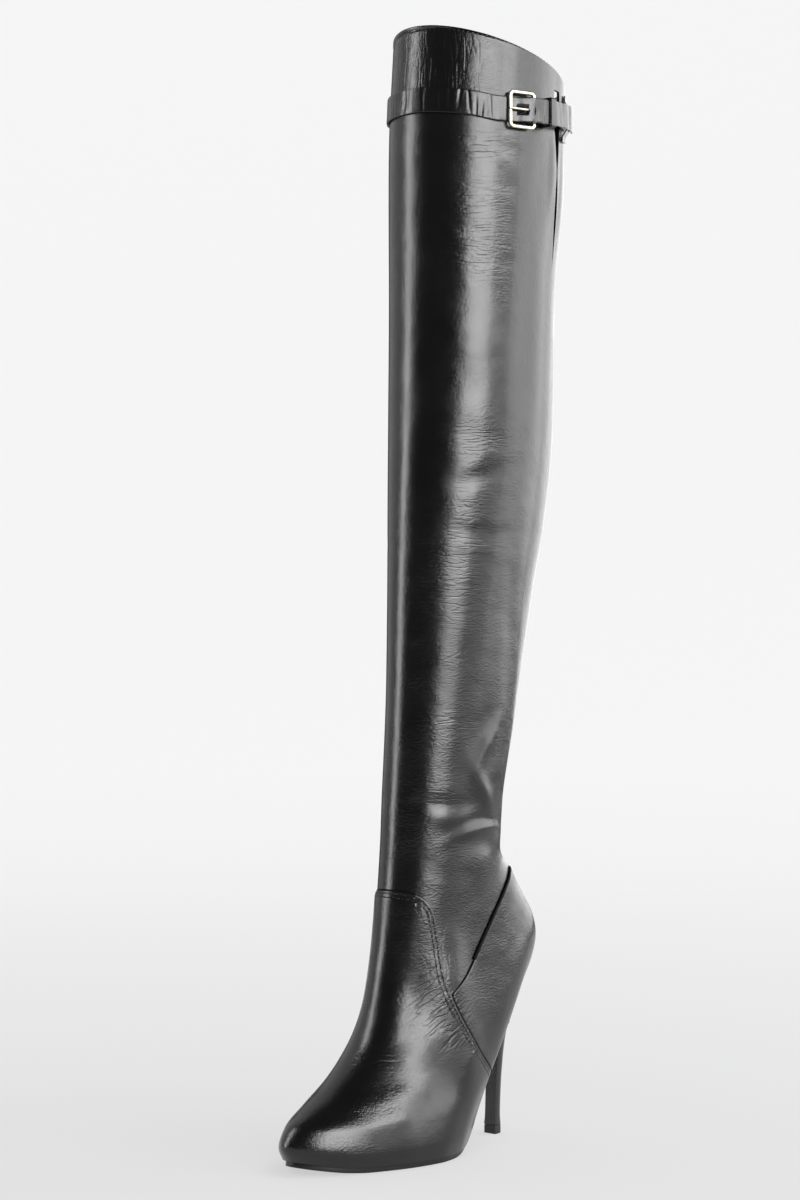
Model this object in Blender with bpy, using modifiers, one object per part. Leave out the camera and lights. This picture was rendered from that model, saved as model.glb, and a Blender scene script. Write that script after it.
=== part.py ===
"""Thigh high boot, left foot: hollow leather upper on a slim high heel, with a buckled strap at the top.

Metres, +Z up, +X the outer side, -Y the toe. The origin is on the floor under the forefoot.
"""

import math

import bmesh
import bpy
import numpy as np
from mathutils import Matrix, Vector

MM = 0.001

# Last and shaft
FOOT_LENGTH = 230 * MM
TOE_REACH = 65 * MM
BALL_WIDTH = 78 * MM
HEEL_HEIGHT = 84 * MM
ANKLE_RISE = 115 * MM
TOE_SPRING = 5 * MM
TOE_CURVE = 5 * MM
BOOT_HEIGHT = 742 * MM
COLLAR_DROP = 33 * MM
COLLAR_CREST = 3 * MM
CALF_DEPTH = 125 * MM
CALF_WIDTH = 106 * MM

# Leather, sole and clearances
WALL = 1.8 * MM
OVERLAY = 1.0 * MM
SOLE = 3.8 * MM
SOLE_INSET = 1.2 * MM
INSOLE = 2.0 * MM
INSOLE_CLEAR = 1.2 * MM
TIP_HEIGHT = 5.5 * MM
HEEL_WIDTH = 44 * MM
HEEL_BACK_ROUND = 0.9
HEEL_SIDE_ROUND = 0.8
HEEL_STEPS = 14
GAP = 0.3 * MM

# Strap and buckle
STRAP_WIDTH = 16.5 * MM
STRAP = 1.8 * MM
STRAP_BELOW = 50 * MM
STRAP_DROP = 7 * MM
CHAPE = 1.2 * MM
CHAPE_WIDTH = 14 * MM
BUCKLE_WIDTH = 21.5 * MM
BUCKLE_HEIGHT = 25 * MM
BAR = 2.4 * MM
PRONG = 1.8 * MM
KEEPER = 0.9 * MM
KEEPER_WIDTH = 5 * MM
LOOP = 1.0 * MM
LOOP_WIDTH = 9 * MM
LOOP_HEIGHT = 32 * MM
BUCKLE_CORNER = 3 * MM
PRONG_PAST = 0.3 * MM
PRONG_CLEAR = 0.1 * MM
HOLE_LENGTH = 7.2 * MM
HOLE_FORWARD = 0.4 * MM
CHAPE_SLOT = 4.4 * MM
CHAPE_SLOT_IN = 2.2 * MM
CHAPE_SLOT_DEPTH = 4.2 * MM
CHAPE_END = 2.5 * MM
KEEPER_ROUND = 0.3 * MM

# Angles round the shaft: 0 at the front, 90 at the outer side, 180 at the back
BUCKLE_ANGLE = 72.5
KEEPER_ANGLE = 91.5
LOOP_ANGLE = 124
SLIT_ANGLE = 110.5

# Slit, from just above the strap down
SLIT_RISE = 12 * MM
SLIT_LENGTH = 118 * MM
SLIT_WIDTH = 9 * MM
SLIT_PUSH = 14 * MM

AROUND = 40
ANKLE_HEIGHT = HEEL_HEIGHT + ANKLE_RISE
SHAFT_HEIGHT = BOOT_HEIGHT - ANKLE_HEIGHT
STRAP_HEIGHT = BOOT_HEIGHT - STRAP_BELOW
SLIT_HEAD = STRAP_HEIGHT + SLIT_RISE
SLIT_FOOT = SLIT_HEAD - SLIT_LENGTH
SOLE_TOP = SOLE + GAP
CALF_RADIUS = (CALF_WIDTH + CALF_DEPTH) / 4
DEGREE = math.radians(1) * CALF_RADIUS
SKIN = 1.3 * GAP
PANEL_GAP = 1.2 * GAP

# Sole line along the foot. along: share of the loop's length from the toe; rise: share of the heel's
# lift; spring: share of the toe spring.
SOLE_LINE = [
    # along, rise, spring
    (0.00, 0.000, 1.00),
    (0.06, 0.000, 0.55),
    (0.13, 0.000, 0.15),
    (0.20, 0.000, 0.00),
    (0.52, 0.000, 0.00),
    (0.575, 0.008, 0.00),
    (0.625, 0.045, 0.00),
    (0.675, 0.140, 0.00),
    (0.73, 0.320, 0.00),
    (0.80, 0.590, 0.00),
    (0.86, 0.790, 0.00),
    (0.92, 0.920, 0.00),
    (1.00, 1.000, 0.00),
]

# Sole outline, as shares of half the ball width, times the round of an ellipse.
SOLE_OUTLINE = [
    # along, outer, inner
    (0.00, 0.86, 0.86),
    (0.08, 0.93, 1.00),
    (0.15, 0.98, 1.08),
    (0.25, 1.03, 1.08),
    (0.35, 1.07, 1.05),
    (0.45, 1.08, 0.93),
    (0.55, 1.00, 0.75),
    (0.65, 0.82, 0.62),
    (0.75, 0.72, 0.63),
    (0.85, 0.72, 0.74),
    (0.93, 0.80, 0.84),
    (1.00, 0.85, 0.88),
]

# Loops of the foot, from the sole's edge to the ankle. front and back: shares of the foot's length from
# the toe; front_up: share of the ankle's height; back_up: share of the rise above the heel seat;
# width: share of the ball width; ellipse: 0 the sole's outline, 1 an ellipse; sag: share of the arch.
FOOT_LOOPS = [
    # front, front_up, back, back_up, width, ellipse, sag
    (0.016, 0.046, 0.884, 0.000, 1.00, 0.00, 1.00),
    (0.000, 0.085, 0.912, 0.115, 1.04, 0.10, 1.00),
    (0.022, 0.138, 0.950, 0.245, 1.03, 0.35, 0.90),
    (0.083, 0.185, 0.989, 0.375, 0.99, 0.65, 0.72),
    (0.165, 0.240, 1.000, 0.475, 0.95, 0.85, 0.50),
    (0.229, 0.297, 0.985, 0.575, 0.92, 1.00, 0.30),
    (0.286, 0.367, 0.944, 0.690, 0.89, 1.00, 0.15),
    (0.330, 0.462, 0.902, 0.795, 0.875, 1.00, 0.06),
    (0.367, 0.630, 0.865, 0.900, 0.865, 1.00, 0.00),
    (0.392, 0.820, 0.830, 0.960, 0.865, 1.00, 0.00),
]

SHIN = 0.409

# Loops of the shaft. up: share of the shaft's height; front and back: shares of the calf's depth behind
# the front of the ankle; width: share of the calf's width; tilt: share of the collar's drop.
SHAFT_LOOPS = [
    # up, front, back, width, tilt
    (0.000, 0.000, 0.752, 0.640, 0.00),
    (0.055, 0.018, 0.765, 0.655, 0.00),
    (0.175, 0.055, 0.880, 0.700, 0.00),
    (0.300, 0.080, 0.985, 0.775, 0.00),
    (0.425, 0.105, 1.095, 0.880, 0.00),
    (0.525, 0.128, 1.128, 0.945, 0.05),
    (0.690, 0.150, 1.125, 0.985, 0.25),
    (0.860, 0.160, 1.190, 1.040, 0.65),
    (1.000, 0.200, 1.195, 1.030, 1.00),
]

# Slit in the shaft. up: share from its foot to its head; fore and aft: shares of its width.
SLIT = [
    # up, fore, aft
    (0.00, 0.00, 0.02),
    (0.12, 0.10, 0.14),
    (0.28, 0.22, 0.28),
    (0.42, 0.18, 0.22),
    (0.54, 0.09, 0.09),
    (0.66, 0.34, 0.30),
    (0.80, 0.60, 0.42),
    (0.96, 0.60, 0.46),
    (1.00, 0.52, 0.42),
]

# Seams seen from the side. along: share of the foot's length from the toe; up: share of the ankle's height.
VAMP_SEAM = [
    # along, up
    (0.340, 0.872),
    (0.400, 0.868),
    (0.431, 0.852),
    (0.456, 0.811),
    (0.466, 0.750),
    (0.472, 0.676),
    (0.478, 0.590),
    (0.491, 0.529),
    (0.521, 0.438),
    (0.568, 0.357),
    (0.653, 0.270),
    (0.760, 0.180),
]
COUNTER_SEAM = [
    # along, up
    (0.491, 0.529),
    (0.576, 0.625),
    (0.635, 0.712),
    (0.705, 0.803),
    (0.781, 0.876),
    (0.850, 0.915),
    (1.060, 0.925),
]

# Strap from its sewn end, round the inner side and the front, through the buckle to its tail.
# angle: degrees round the shaft; lift: share of the height over the buckle's rear bar; drop: share of
# the strap's drop.
STRAP_PATH = [
    # angle, lift, drop
    (-158, 0.00, 0.60),
    (-90, 0.00, 0.10),
    (0, 0.00, 0.05),
    (40, 0.00, 0.55),
    (60, 0.00, 1.00),
    (65, 0.01, 1.00),
    (69, 0.12, 1.00),
    (73, 0.48, 1.00),
    (77, 0.84, 1.00),
    (80, 0.98, 1.00),
    (83, 1.00, 1.00),
    (87, 0.98, 0.98),
    (91, 0.92, 0.95),
    (100, 0.80, 0.85),
    (118, 0.66, 0.65),
    (134, 0.60, 0.60),
]

# Short strap under the tail, from the buckle's rear bar to where it is sewn behind the slit.
# angle: degrees behind the bar; under_bar and in_keeper: shares of its heights there.
CHAPE_PATH = [
    # angle, under_bar, in_keeper
    (0, 1.00, 0.00),
    (3, 0.95, 0.25),
    (8, 0.20, 1.00),
    (13, 0.00, 1.00),
    (22, 0.00, 0.50),
    (32, 0.00, 0.05),
    (56, 0.00, 0.00),
]

# Heel. up: share from the tip to the seat; front and back: shares of the foot's length from the toe;
# half: share of the heel's width; follow: how far the loop follows the sole above it.
HEEL_LOOPS = [
    # up, front, back, half, follow
    (0.000, 0.8350, 0.8760, 0.112, 0.00),
    (0.100, 0.8368, 0.8740, 0.102, 0.00),
    (0.400, 0.8410, 0.8785, 0.106, 0.00),
    (0.620, 0.8440, 0.8850, 0.122, 0.00),
    (0.740, 0.8420, 0.8875, 0.160, 0.05),
    (0.840, 0.8350, 0.8880, 0.230, 0.30),
    (0.930, 0.8200, 0.8870, 0.320, 0.72),
    (1.000, 0.8000, 0.8830, 0.385, 1.00),
]


def smooth(rows, column, at):
    """A column of a table as a smooth curve of its first column, with no overshoot between its rows."""
    x = [row[0] for row in rows]
    y = [row[column] for row in rows]
    slopes = [(y[i + 1] - y[i]) / (x[i + 1] - x[i]) for i in range(len(x) - 1)]
    lean = [slopes[0]]
    for before, after in zip(slopes, slopes[1:]):
        lean.append(0.0 if before * after <= 0 else 2 * before * after / (before + after))
    lean.append(slopes[-1])
    at = min(max(at, x[0]), x[-1])
    i = min(int(np.searchsorted(x, at, side="right")) - 1, len(x) - 2)
    step = x[i + 1] - x[i]
    t = (at - x[i]) / step
    start = (1 + 2 * t) * (1 - t) ** 2 * y[i] + t * (1 - t) ** 2 * step * lean[i]
    end = t * t * (3 - 2 * t) * y[i + 1] - t * t * (1 - t) * step * lean[i + 1]
    return start + end


def mix(a, b, t):
    return a + (b - a) * t


def foot_y(share):
    return share * FOOT_LENGTH - TOE_REACH


LOOP_START = foot_y(FOOT_LOOPS[0][0])
LOOP_END = foot_y(FOOT_LOOPS[0][2])
TOE_HEIGHT = SOLE_TOP + TOE_SPRING


def along_sole(y):
    return (y - LOOP_START) / (LOOP_END - LOOP_START)


def sole_line(y):
    """Height of the upper's lower edge, which is the top of the sole, at one place along the foot."""
    share = along_sole(y)
    lift = smooth(SOLE_LINE, 1, share) * (HEEL_HEIGHT - SOLE_TOP)
    return SOLE_TOP + lift + smooth(SOLE_LINE, 2, share) * TOE_SPRING


def arch_dip(share):
    """How far the sole's edge lies below the straight line from the toe to the heel seat."""
    return mix(TOE_HEIGHT, HEEL_HEIGHT, share) - sole_line(mix(LOOP_START, LOOP_END, share))


def loop_rows():
    """Every loop as (front y, front z, back y, back z, half width, ellipse, sag, crest)."""
    rows = []
    for front, front_up, back, back_up, width, ellipse, sag in FOOT_LOOPS:
        front_z = front_up * ANKLE_HEIGHT
        back_z = HEEL_HEIGHT + back_up * ANKLE_RISE
        rows.append((foot_y(front), front_z, foot_y(back), back_z, width * BALL_WIDTH / 2, ellipse, sag, 0))
    rows[0] = (LOOP_START, TOE_HEIGHT) + rows[0][2:]
    shin = foot_y(SHIN)
    for up, front, back, width, tilt in SHAFT_LOOPS:
        z = ANKLE_HEIGHT + up * SHAFT_HEIGHT
        ends = (shin + front * CALF_DEPTH, z, shin + back * CALF_DEPTH, z - tilt * COLLAR_DROP)
        rows.append(ends + (width * CALF_WIDTH / 2, 1, 0, tilt * COLLAR_CREST))
    return rows


LOOPS = [(index,) + row for index, row in enumerate(loop_rows())]


def surface(level, angle):
    """A point of the upper's outer face. level runs over the loops, angle in radians round each."""
    front_y, front_z, back_y, back_z, half, ellipse, sag, crest = (
        smooth(LOOPS, column, level) for column in range(1, 9)
    )
    share = (1 - math.cos(angle)) / 2
    side = 1 if math.sin(angle) >= 0 else 2
    outline = mix(smooth(SOLE_OUTLINE, side, share), 1, ellipse)
    bend = (1 - min(1, level / 7)) * (1 - min(1, share / 0.5)) ** 2
    x = half * outline * math.sin(angle) - TOE_CURVE * bend
    z = mix(front_z, back_z, share) - sag * arch_dip(share) + crest * -math.sin(angle)
    return Vector((x, mix(front_y, back_y, share), z))


def shaft_point(angle_degrees, height, offset=0.0):
    """The point of the shaft at one angle and height, moved outward by offset."""
    angle = math.radians(angle_degrees)
    low, high = len(FOOT_LOOPS), len(LOOPS) - 1
    for _ in range(40):
        level = (low + high) / 2
        if surface(level, angle).z < height:
            low = level
        else:
            high = level
    step = 0.01
    round_ = surface(low, angle + step) - surface(low, angle - step)
    upward = surface(low + step, angle) - surface(low - step, angle)
    outward = round_.cross(upward).normalized()
    flat = Vector((outward.x, outward.y, 0)).normalized()
    return surface(low, angle) + flat * offset, flat


def material(name, colour, roughness, metallic=0.0):
    made = bpy.data.materials.new(name)
    made.use_nodes = True
    shader = made.node_tree.nodes["Principled BSDF"]
    shader.inputs["Base Color"].default_value = (*colour, 1)
    shader.inputs["Roughness"].default_value = roughness
    shader.inputs["Metallic"].default_value = metallic
    return made


def add_object(name, mesh, finish, collection):
    made = bpy.data.objects.new(name, mesh)
    collection.objects.link(made)
    if finish:
        mesh.materials.append(finish)
    return made


def mesh_from_bmesh(name, work, whole=True):
    """Ends a bmesh. A whole body has its faces turned out; an open sheet keeps the side it was made with."""
    bmesh.ops.remove_doubles(work, verts=work.verts, dist=1e-6)
    if whole:
        bmesh.ops.recalc_face_normals(work, faces=work.faces)
    mesh = bpy.data.meshes.new(name)
    work.to_mesh(mesh)
    work.free()
    mesh.shade_smooth()
    mesh.set_sharp_from_angle(angle=math.radians(40))
    return mesh


def loft(name, loops, caps=False):
    """Joins loops with equal counts of points by bands of quads, for forms between unlike sections."""
    work = bmesh.new()
    made = [[work.verts.new(point) for point in loop] for loop in loops]
    count = len(made[0])
    for low, high in zip(made, made[1:]):
        for i in range(count):
            j = (i + 1) % count
            work.faces.new((low[i], low[j], high[j], high[i]))
    if caps:
        work.faces.new(made[0])
        work.faces.new(made[-1])
    return mesh_from_bmesh(name, work, whole=caps)


def prism(name, outline, across, collection):
    """A cutter: a flat outline pushed along a direction from its middle, both ways."""
    work = bmesh.new()
    face = work.faces.new([work.verts.new(point - across) for point in outline])
    pushed = bmesh.ops.extrude_face_region(work, geom=[face])["geom"]
    corners = [item for item in pushed if isinstance(item, bmesh.types.BMVert)]
    bmesh.ops.translate(work, verts=corners, vec=across * 2)
    made = add_object(name, mesh_from_bmesh(name, work), None, collection)
    made.hide_render = True
    made.display_type = "WIRE"
    return made


def solidify(part, thickness, offset):
    shell = part.modifiers.new("Wall", "SOLIDIFY")
    shell.thickness = thickness
    shell.offset = offset
    shell.use_even_offset = True


def boolean(part, cutter, operation="DIFFERENCE"):
    cut = part.modifiers.new("Cut " + cutter.name, "BOOLEAN")
    cut.operation = operation
    cut.object = cutter
    cut.solver = "EXACT"


def loop_angles():
    return [2 * math.pi * i / AROUND for i in range(AROUND)]


def upper_levels(last):
    return [i / 2 for i in range(2 * last + 1)]


def make_upper(parts, cutters, leather):
    loops = [[surface(level, angle) for angle in loop_angles()] for level in upper_levels(len(LOOPS) - 1)]
    upper = add_object("upper", loft("upper", loops), leather, parts)
    solidify(upper, WALL, -1)
    middle = (SLIT_FOOT + SLIT_HEAD) / 2
    centre, outward = shaft_point(SLIT_ANGLE, middle)
    tangent = Vector((-outward.y, outward.x, 0))
    fore = []
    aft = []
    for up, fore_share, aft_share in SLIT:
        level = centre + Vector((0, 0, mix(SLIT_FOOT, SLIT_HEAD, up) - middle))
        fore.append(level - tangent * fore_share * SLIT_WIDTH)
        aft.append(level + tangent * aft_share * SLIT_WIDTH)
    slit = prism("slit_cutter", fore + aft[::-1], outward * SLIT_PUSH, cutters)
    boolean(upper, slit)


def side_points(rows):
    """A seam's table as points in the plane of symmetry, seen from the side."""
    return [Vector((0, foot_y(along), up * ANKLE_HEIGHT)) for along, up in rows]


def make_overlay(name, outline, parts, cutters, leather):
    """A panel over the upper: the upper's own face, moved out and cut to an outline seen from the side."""
    levels = upper_levels(len(FOOT_LOOPS) + 1)
    loops = [[surface(level, angle) for angle in loop_angles()] for level in levels]
    mesh = loft(name, loops)
    work = bmesh.new()
    work.from_mesh(mesh)
    work.normal_update()
    moves = [(vert, vert.normal.copy()) for vert in work.verts]
    for vert, normal in moves:
        vert.co += normal * PANEL_GAP
    work.to_mesh(mesh)
    work.free()
    panel = add_object(name, mesh, leather, parts)
    solidify(panel, OVERLAY, 1)
    region = prism(name + "_cutter", outline, Vector((BALL_WIDTH, 0, 0)), cutters)
    boolean(panel, region, "INTERSECT")


def sole_strips(name, inset, lift):
    """A sheet that follows the sole line, as strips across the foot inside the upper's lower edge."""
    ring = [surface(0, angle) for angle in loop_angles()]
    moved = []
    for index, point in enumerate(ring):
        before, after = ring[index - 1], ring[(index + 1) % AROUND]
        edge = after - before
        outward = Vector((edge.y, -edge.x, 0)).normalized()
        moved.append(point - outward * inset)
    work = bmesh.new()
    half = AROUND // 2
    left = []
    right = []
    for index in range(half + 1):
        outer = moved[index]
        inner = moved[-index]
        y = (outer.y + inner.y) / 2
        z = sole_line(y) + lift
        left.append(work.verts.new((outer.x, y, z)))
        if 0 < index < half:
            right.append(work.verts.new((inner.x, y, z)))
        else:
            right.append(left[-1])
    for index in range(half):
        corners = [left[index], left[index + 1], right[index + 1], right[index]]
        work.faces.new(list(dict.fromkeys(corners)))
    return mesh_from_bmesh(name, work, whole=False)


def make_sole(parts, finishes):
    outsole = add_object("outsole", sole_strips("outsole", SOLE_INSET, -GAP), finishes["sole"], parts)
    solidify(outsole, SOLE, -1)
    insole = add_object("insole", sole_strips("insole", WALL + INSOLE_CLEAR, 0), finishes["lining"], parts)
    solidify(insole, INSOLE, 1)


def heel_loop(up, front, back, half, follow):
    """A D-shaped section of the heel: flat to the front, round at the sides and back."""
    stem_top = HEEL_HEIGHT - SOLE - 2 * GAP
    base = TIP_HEIGHT + GAP
    points = []
    front_y, back_y = foot_y(front), foot_y(back)
    for index in range(HEEL_STEPS + 1):
        angle = math.pi * index / HEEL_STEPS - math.pi / 2
        reach = max(0, math.cos(angle)) ** HEEL_BACK_ROUND
        y = mix(front_y, back_y, reach)
        across = abs(math.sin(angle)) ** HEEL_SIDE_ROUND
        x = half * HEEL_WIDTH * math.copysign(across, math.sin(angle))
        slope = (sole_line(y + MM) - sole_line(y - MM)) / (2 * MM)
        under = sole_line(y) - GAP - (SOLE + GAP) * math.sqrt(1 + slope * slope)
        flat = mix(base, stem_top, up)
        points.append(Vector((x, y, mix(flat, under, follow))))
    return points


def make_heel(parts, finishes):
    loops = [heel_loop(*row) for row in HEEL_LOOPS]
    add_object("heel", loft("heel", loops, caps=True), finishes["leather"], parts)
    first = heel_loop(*HEEL_LOOPS[0])
    floor = [Vector((point.x, point.y, 0)) for point in first]
    top = [Vector((point.x, point.y, TIP_HEIGHT)) for point in first]
    add_object("heel_tip", loft("heel_tip", [floor, top], caps=True), finishes["sole"], parts)


def on_shaft(angle, off, drop, width):
    """Middle of a strap that lies off the shaft, and half its width along the shaft's slope."""
    height = STRAP_HEIGHT - drop
    low = shaft_point(angle, height - width / 2, off)[0]
    high = shaft_point(angle, height + width / 2, off)[0]
    return (low + high) / 2, (high - low) / 2


def ribbon(name, path, thickness):
    """A strip along a path of middle points, each with half its width as an upward vector.

    Each station's corners run inner low, inner high, outer high, outer low.
    """
    stations = []
    for index, (middle, rise) in enumerate(path):
        before = path[max(index - 1, 0)][0]
        after = path[min(index + 1, len(path) - 1)][0]
        lean = (after - before).cross(rise).normalized() * thickness / 2
        stations.append([middle - lean - rise, middle - lean + rise, middle + lean + rise, middle + lean - rise])
    return loft(name, stations, caps=True)


def spread(start, end, step):
    count = max(1, round(abs(end - start) / step))
    return [mix(start, end, i / count) for i in range(count + 1)]


def strap_drop(angle):
    return smooth(STRAP_PATH, 2, angle) * STRAP_DROP


def buckle_place():
    """Where the buckle sits: a point on the shaft, outward, and along the shaft towards its back."""
    height = STRAP_HEIGHT - strap_drop(BUCKLE_ANGLE)
    point, outward = shaft_point(BUCKLE_ANGLE, height)
    return point, outward, Vector((-outward.y, outward.x, 0))


BAR_REACH = (BUCKLE_WIDTH - BAR) / 2
FRAME_LIFT = STRAP + 3 * GAP + BAR / 2 - BAR_REACH**2 / (2 * CALF_RADIUS)
FOLD = BAR / 2 + GAP + CHAPE / 2


def rear_bar():
    """Middle of the buckle's rear bar, its angle round the shaft and its distance off it."""
    point, outward, along = buckle_place()
    bar = point + outward * FRAME_LIFT + along * BAR_REACH
    low, high = BUCKLE_ANGLE, BUCKLE_ANGLE + 30
    for _ in range(40):
        angle = (low + high) / 2
        spot, out = shaft_point(angle, bar.z)
        if (bar - spot).dot(Vector((-out.y, out.x, 0))) > 0:
            low = angle
        else:
            high = angle
    return bar, low, (bar - spot).length


BAR_MIDDLE, BAR_ANGLE, BAR_LIFT = rear_bar()
TAIL_LIFT = BAR_LIFT + FOLD + CHAPE / 2 + GAP


def box(name, place, size, collection, finish=None):
    """A box turned with the buckle's directions; place and size run along, up and outward."""
    point, outward, along = place
    bpy.ops.mesh.primitive_cube_add(size=1)
    made = bpy.context.object
    made.name = name
    made.data.transform(Matrix.Diagonal((*size, 1)))
    made.matrix_world = Matrix.Translation(point) @ Matrix((along, (0, 0, 1), outward)).transposed().to_4x4()
    for old in list(made.users_collection):
        old.objects.unlink(made)
    collection.objects.link(made)
    if finish:
        made.data.materials.append(finish)
    else:
        made.hide_render = True
        made.display_type = "WIRE"
    return made


def make_strap(parts, cutters, leather):
    first, last = STRAP_PATH[0][0], STRAP_PATH[-1][0]
    fine_from, fine_to = BUCKLE_ANGLE - 12, BUCKLE_ANGLE + 16
    angles = spread(first, fine_from, 9) + spread(fine_from + 1, fine_to, 1.5) + spread(fine_to + 3, last, 5)
    path = []
    for angle in angles:
        off = SKIN + STRAP / 2 + smooth(STRAP_PATH, 1, angle) * (TAIL_LIFT - SKIN)
        path.append(on_shaft(angle, off, strap_drop(angle), STRAP_WIDTH))
    strap = add_object("strap", ribbon("strap", path, STRAP), leather, parts)
    point, outward, along = buckle_place()
    hole = (point + outward * FRAME_LIFT - along * HOLE_FORWARD, outward, along)
    boolean(strap, box("strap_hole", hole, (HOLE_LENGTH, PRONG + 2 * GAP, 2 * TAIL_LIFT), cutters))


def make_chape(parts, cutters, leather):
    flat = SKIN + CHAPE / 2
    path = []
    for angle in spread(CHAPE_PATH[-1][0], 0, 4):
        under_bar = smooth(CHAPE_PATH, 1, angle) * (BAR_LIFT - FOLD - flat)
        in_keeper = smooth(CHAPE_PATH, 2, angle) * (KEEPER + GAP)
        drop = strap_drop(BAR_ANGLE + angle)
        path.append(on_shaft(BAR_ANGLE + angle, flat + under_bar + in_keeper, drop, CHAPE_WIDTH))
    outward = shaft_point(BAR_ANGLE, BAR_MIDDLE.z)[1]
    along = Vector((-outward.y, outward.x, 0))
    rise = Vector((0, 0, CHAPE_WIDTH / 2))
    for turn in range(1, 9):
        angle = math.pi * turn / 8
        path.append((BAR_MIDDLE - (along * math.sin(angle) + outward * math.cos(angle)) * FOLD, rise))
    path.append((BAR_MIDDLE + outward * FOLD + along * CHAPE_END, rise))
    chape = add_object("buckle_chape", ribbon("buckle_chape", path, CHAPE), leather, parts)
    slot = (BAR_MIDDLE - along * CHAPE_SLOT_IN, outward, along)
    boolean(chape, box("chape_slot", slot, (CHAPE_SLOT, PRONG + 4 * GAP, CHAPE_SLOT_DEPTH), cutters))


def tube(name, points, radius, cyclic, finish, collection, sides=3):
    curve = bpy.data.curves.new(name, "CURVE")
    curve.dimensions = "3D"
    curve.bevel_depth = radius
    curve.bevel_resolution = sides
    curve.use_fill_caps = not cyclic
    line = curve.splines.new("POLY")
    line.points.add(len(points) - 1)
    for spot, point in zip(line.points, points):
        spot.co = (*point, 1)
    line.use_cyclic_u = cyclic
    return add_object(name, curve, finish, collection)


def make_buckle(parts, metal):
    point, outward, along = buckle_place()
    middle = point + outward * FRAME_LIFT
    across = BAR_REACH - BUCKLE_CORNER
    tall = (BUCKLE_HEIGHT - BAR) / 2 - BUCKLE_CORNER
    points = []
    for quarter, (side, rise) in enumerate(((1, 1), (-1, 1), (-1, -1), (1, -1))):
        for step in range(4):
            angle = math.pi / 2 * (quarter + step / 3)
            flat = along * (side * across + BUCKLE_CORNER * math.cos(angle))
            points.append(middle + flat + Vector((0, 0, rise * tall + BUCKLE_CORNER * math.sin(angle))))
    tube("buckle_frame", points, BAR / 2, True, metal, parts)
    root = middle + along * (BAR_REACH - BAR / 2 - GAP - PRONG_CLEAR)
    tip_lift = BAR / 2 + PRONG / 2 + GAP
    tip = middle - along * (BAR_REACH + PRONG_PAST) + outward * tip_lift
    tube("buckle_prong", [root, root.lerp(tip, 0.5), tip], PRONG / 2, False, metal, parts)


def make_keeper(parts, cutters, leather):
    height = STRAP_HEIGHT - strap_drop(KEEPER_ANGLE)
    point, outward = shaft_point(KEEPER_ANGLE, height)
    along = Vector((-outward.y, outward.x, 0))
    tail = smooth(STRAP_PATH, 1, KEEPER_ANGLE) * TAIL_LIFT + STRAP + 2 * GAP
    inside = tail - KEEPER
    place = (point + outward * (SKIN + KEEPER + inside / 2), outward, along)
    opening = STRAP_WIDTH + 4 * GAP
    size = (KEEPER_WIDTH, opening + 2 * KEEPER, inside + 2 * KEEPER)
    keeper = box("strap_keeper", place, size, parts, leather)
    rounding = keeper.modifiers.new("Rounding", "BEVEL")
    rounding.width = KEEPER_ROUND
    rounding.segments = 2
    boolean(keeper, box("keeper_opening", place, (2 * KEEPER_WIDTH, opening, inside), cutters))


def make_shaft_loop(parts, leather):
    height = STRAP_HEIGHT - strap_drop(LOOP_ANGLE)
    half = LOOP_WIDTH / 2 / DEGREE
    raised = CHAPE + 5 * GAP
    stations = []
    for rise in (-1, -0.8, -0.62, -0.46, 0, 0.46, 0.62, 0.8, 1):
        lift = SKIN + (raised if abs(rise) < 0.5 else raised * 0.5 if abs(rise) < 0.7 else 0)
        level = height + rise * LOOP_HEIGHT / 2
        lean = 3 * rise
        corners = []
        for turned, off in ((half, lift), (half, lift + LOOP), (-half, lift + LOOP), (-half, lift)):
            corners.append(shaft_point(LOOP_ANGLE + lean + turned, level, off)[0])
        stations.append(corners)
    add_object("shaft_loop", loft("shaft_loop", stations, caps=True), leather, parts)


def main():
    for existing in list(bpy.data.objects):
        bpy.data.objects.remove(existing, do_unlink=True)
    parts = bpy.data.collections.new("thigh_high_boot")
    cutters = bpy.data.collections.new("cutters")
    for collection in (parts, cutters):
        bpy.context.scene.collection.children.link(collection)
    cutters.hide_render = True
    finishes = {
        "leather": material("black_leather", (0.012, 0.012, 0.014), 0.32),
        "lining": material("lining", (0.05, 0.042, 0.036), 0.7),
        "sole": material("sole", (0.01, 0.01, 0.01), 0.45),
        "metal": material("pale_metal", (0.82, 0.8, 0.72), 0.2, 1.0),
    }
    make_upper(parts, cutters, finishes["leather"])
    front = side_points(VAMP_SEAM + [(0.76, -0.1), (-0.2, -0.1), (-0.2, 0.872)])
    make_overlay("vamp", front, parts, cutters, finishes["leather"])
    shared = [row for row in VAMP_SEAM if row[0] >= COUNTER_SEAM[0][0]]
    behind = [point + Vector((0, GAP, GAP)) for point in side_points(shared[::-1])]
    back = side_points(COUNTER_SEAM[1:] + [(1.06, 0.1), (0.82, 0.1)]) + behind
    make_overlay("counter", back, parts, cutters, finishes["leather"])
    make_sole(parts, finishes)
    make_heel(parts, finishes)
    make_strap(parts, cutters, finishes["leather"])
    make_chape(parts, cutters, finishes["leather"])
    make_buckle(parts, finishes["metal"])
    make_keeper(parts, cutters, finishes["leather"])
    make_shaft_loop(parts, finishes["leather"])


main()
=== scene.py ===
"""Thigh high boot: leather, linings, seams, strap, buckle and studio light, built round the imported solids.

Metres, +Z up, +X the outer side, -Y the toe. The origin is on the floor under the forefoot.
"""

import math

import bmesh
import bpy
import numpy as np
from bpy.props import FloatProperty, FloatVectorProperty, IntProperty, PointerProperty
from mathutils import Matrix, Vector


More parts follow.
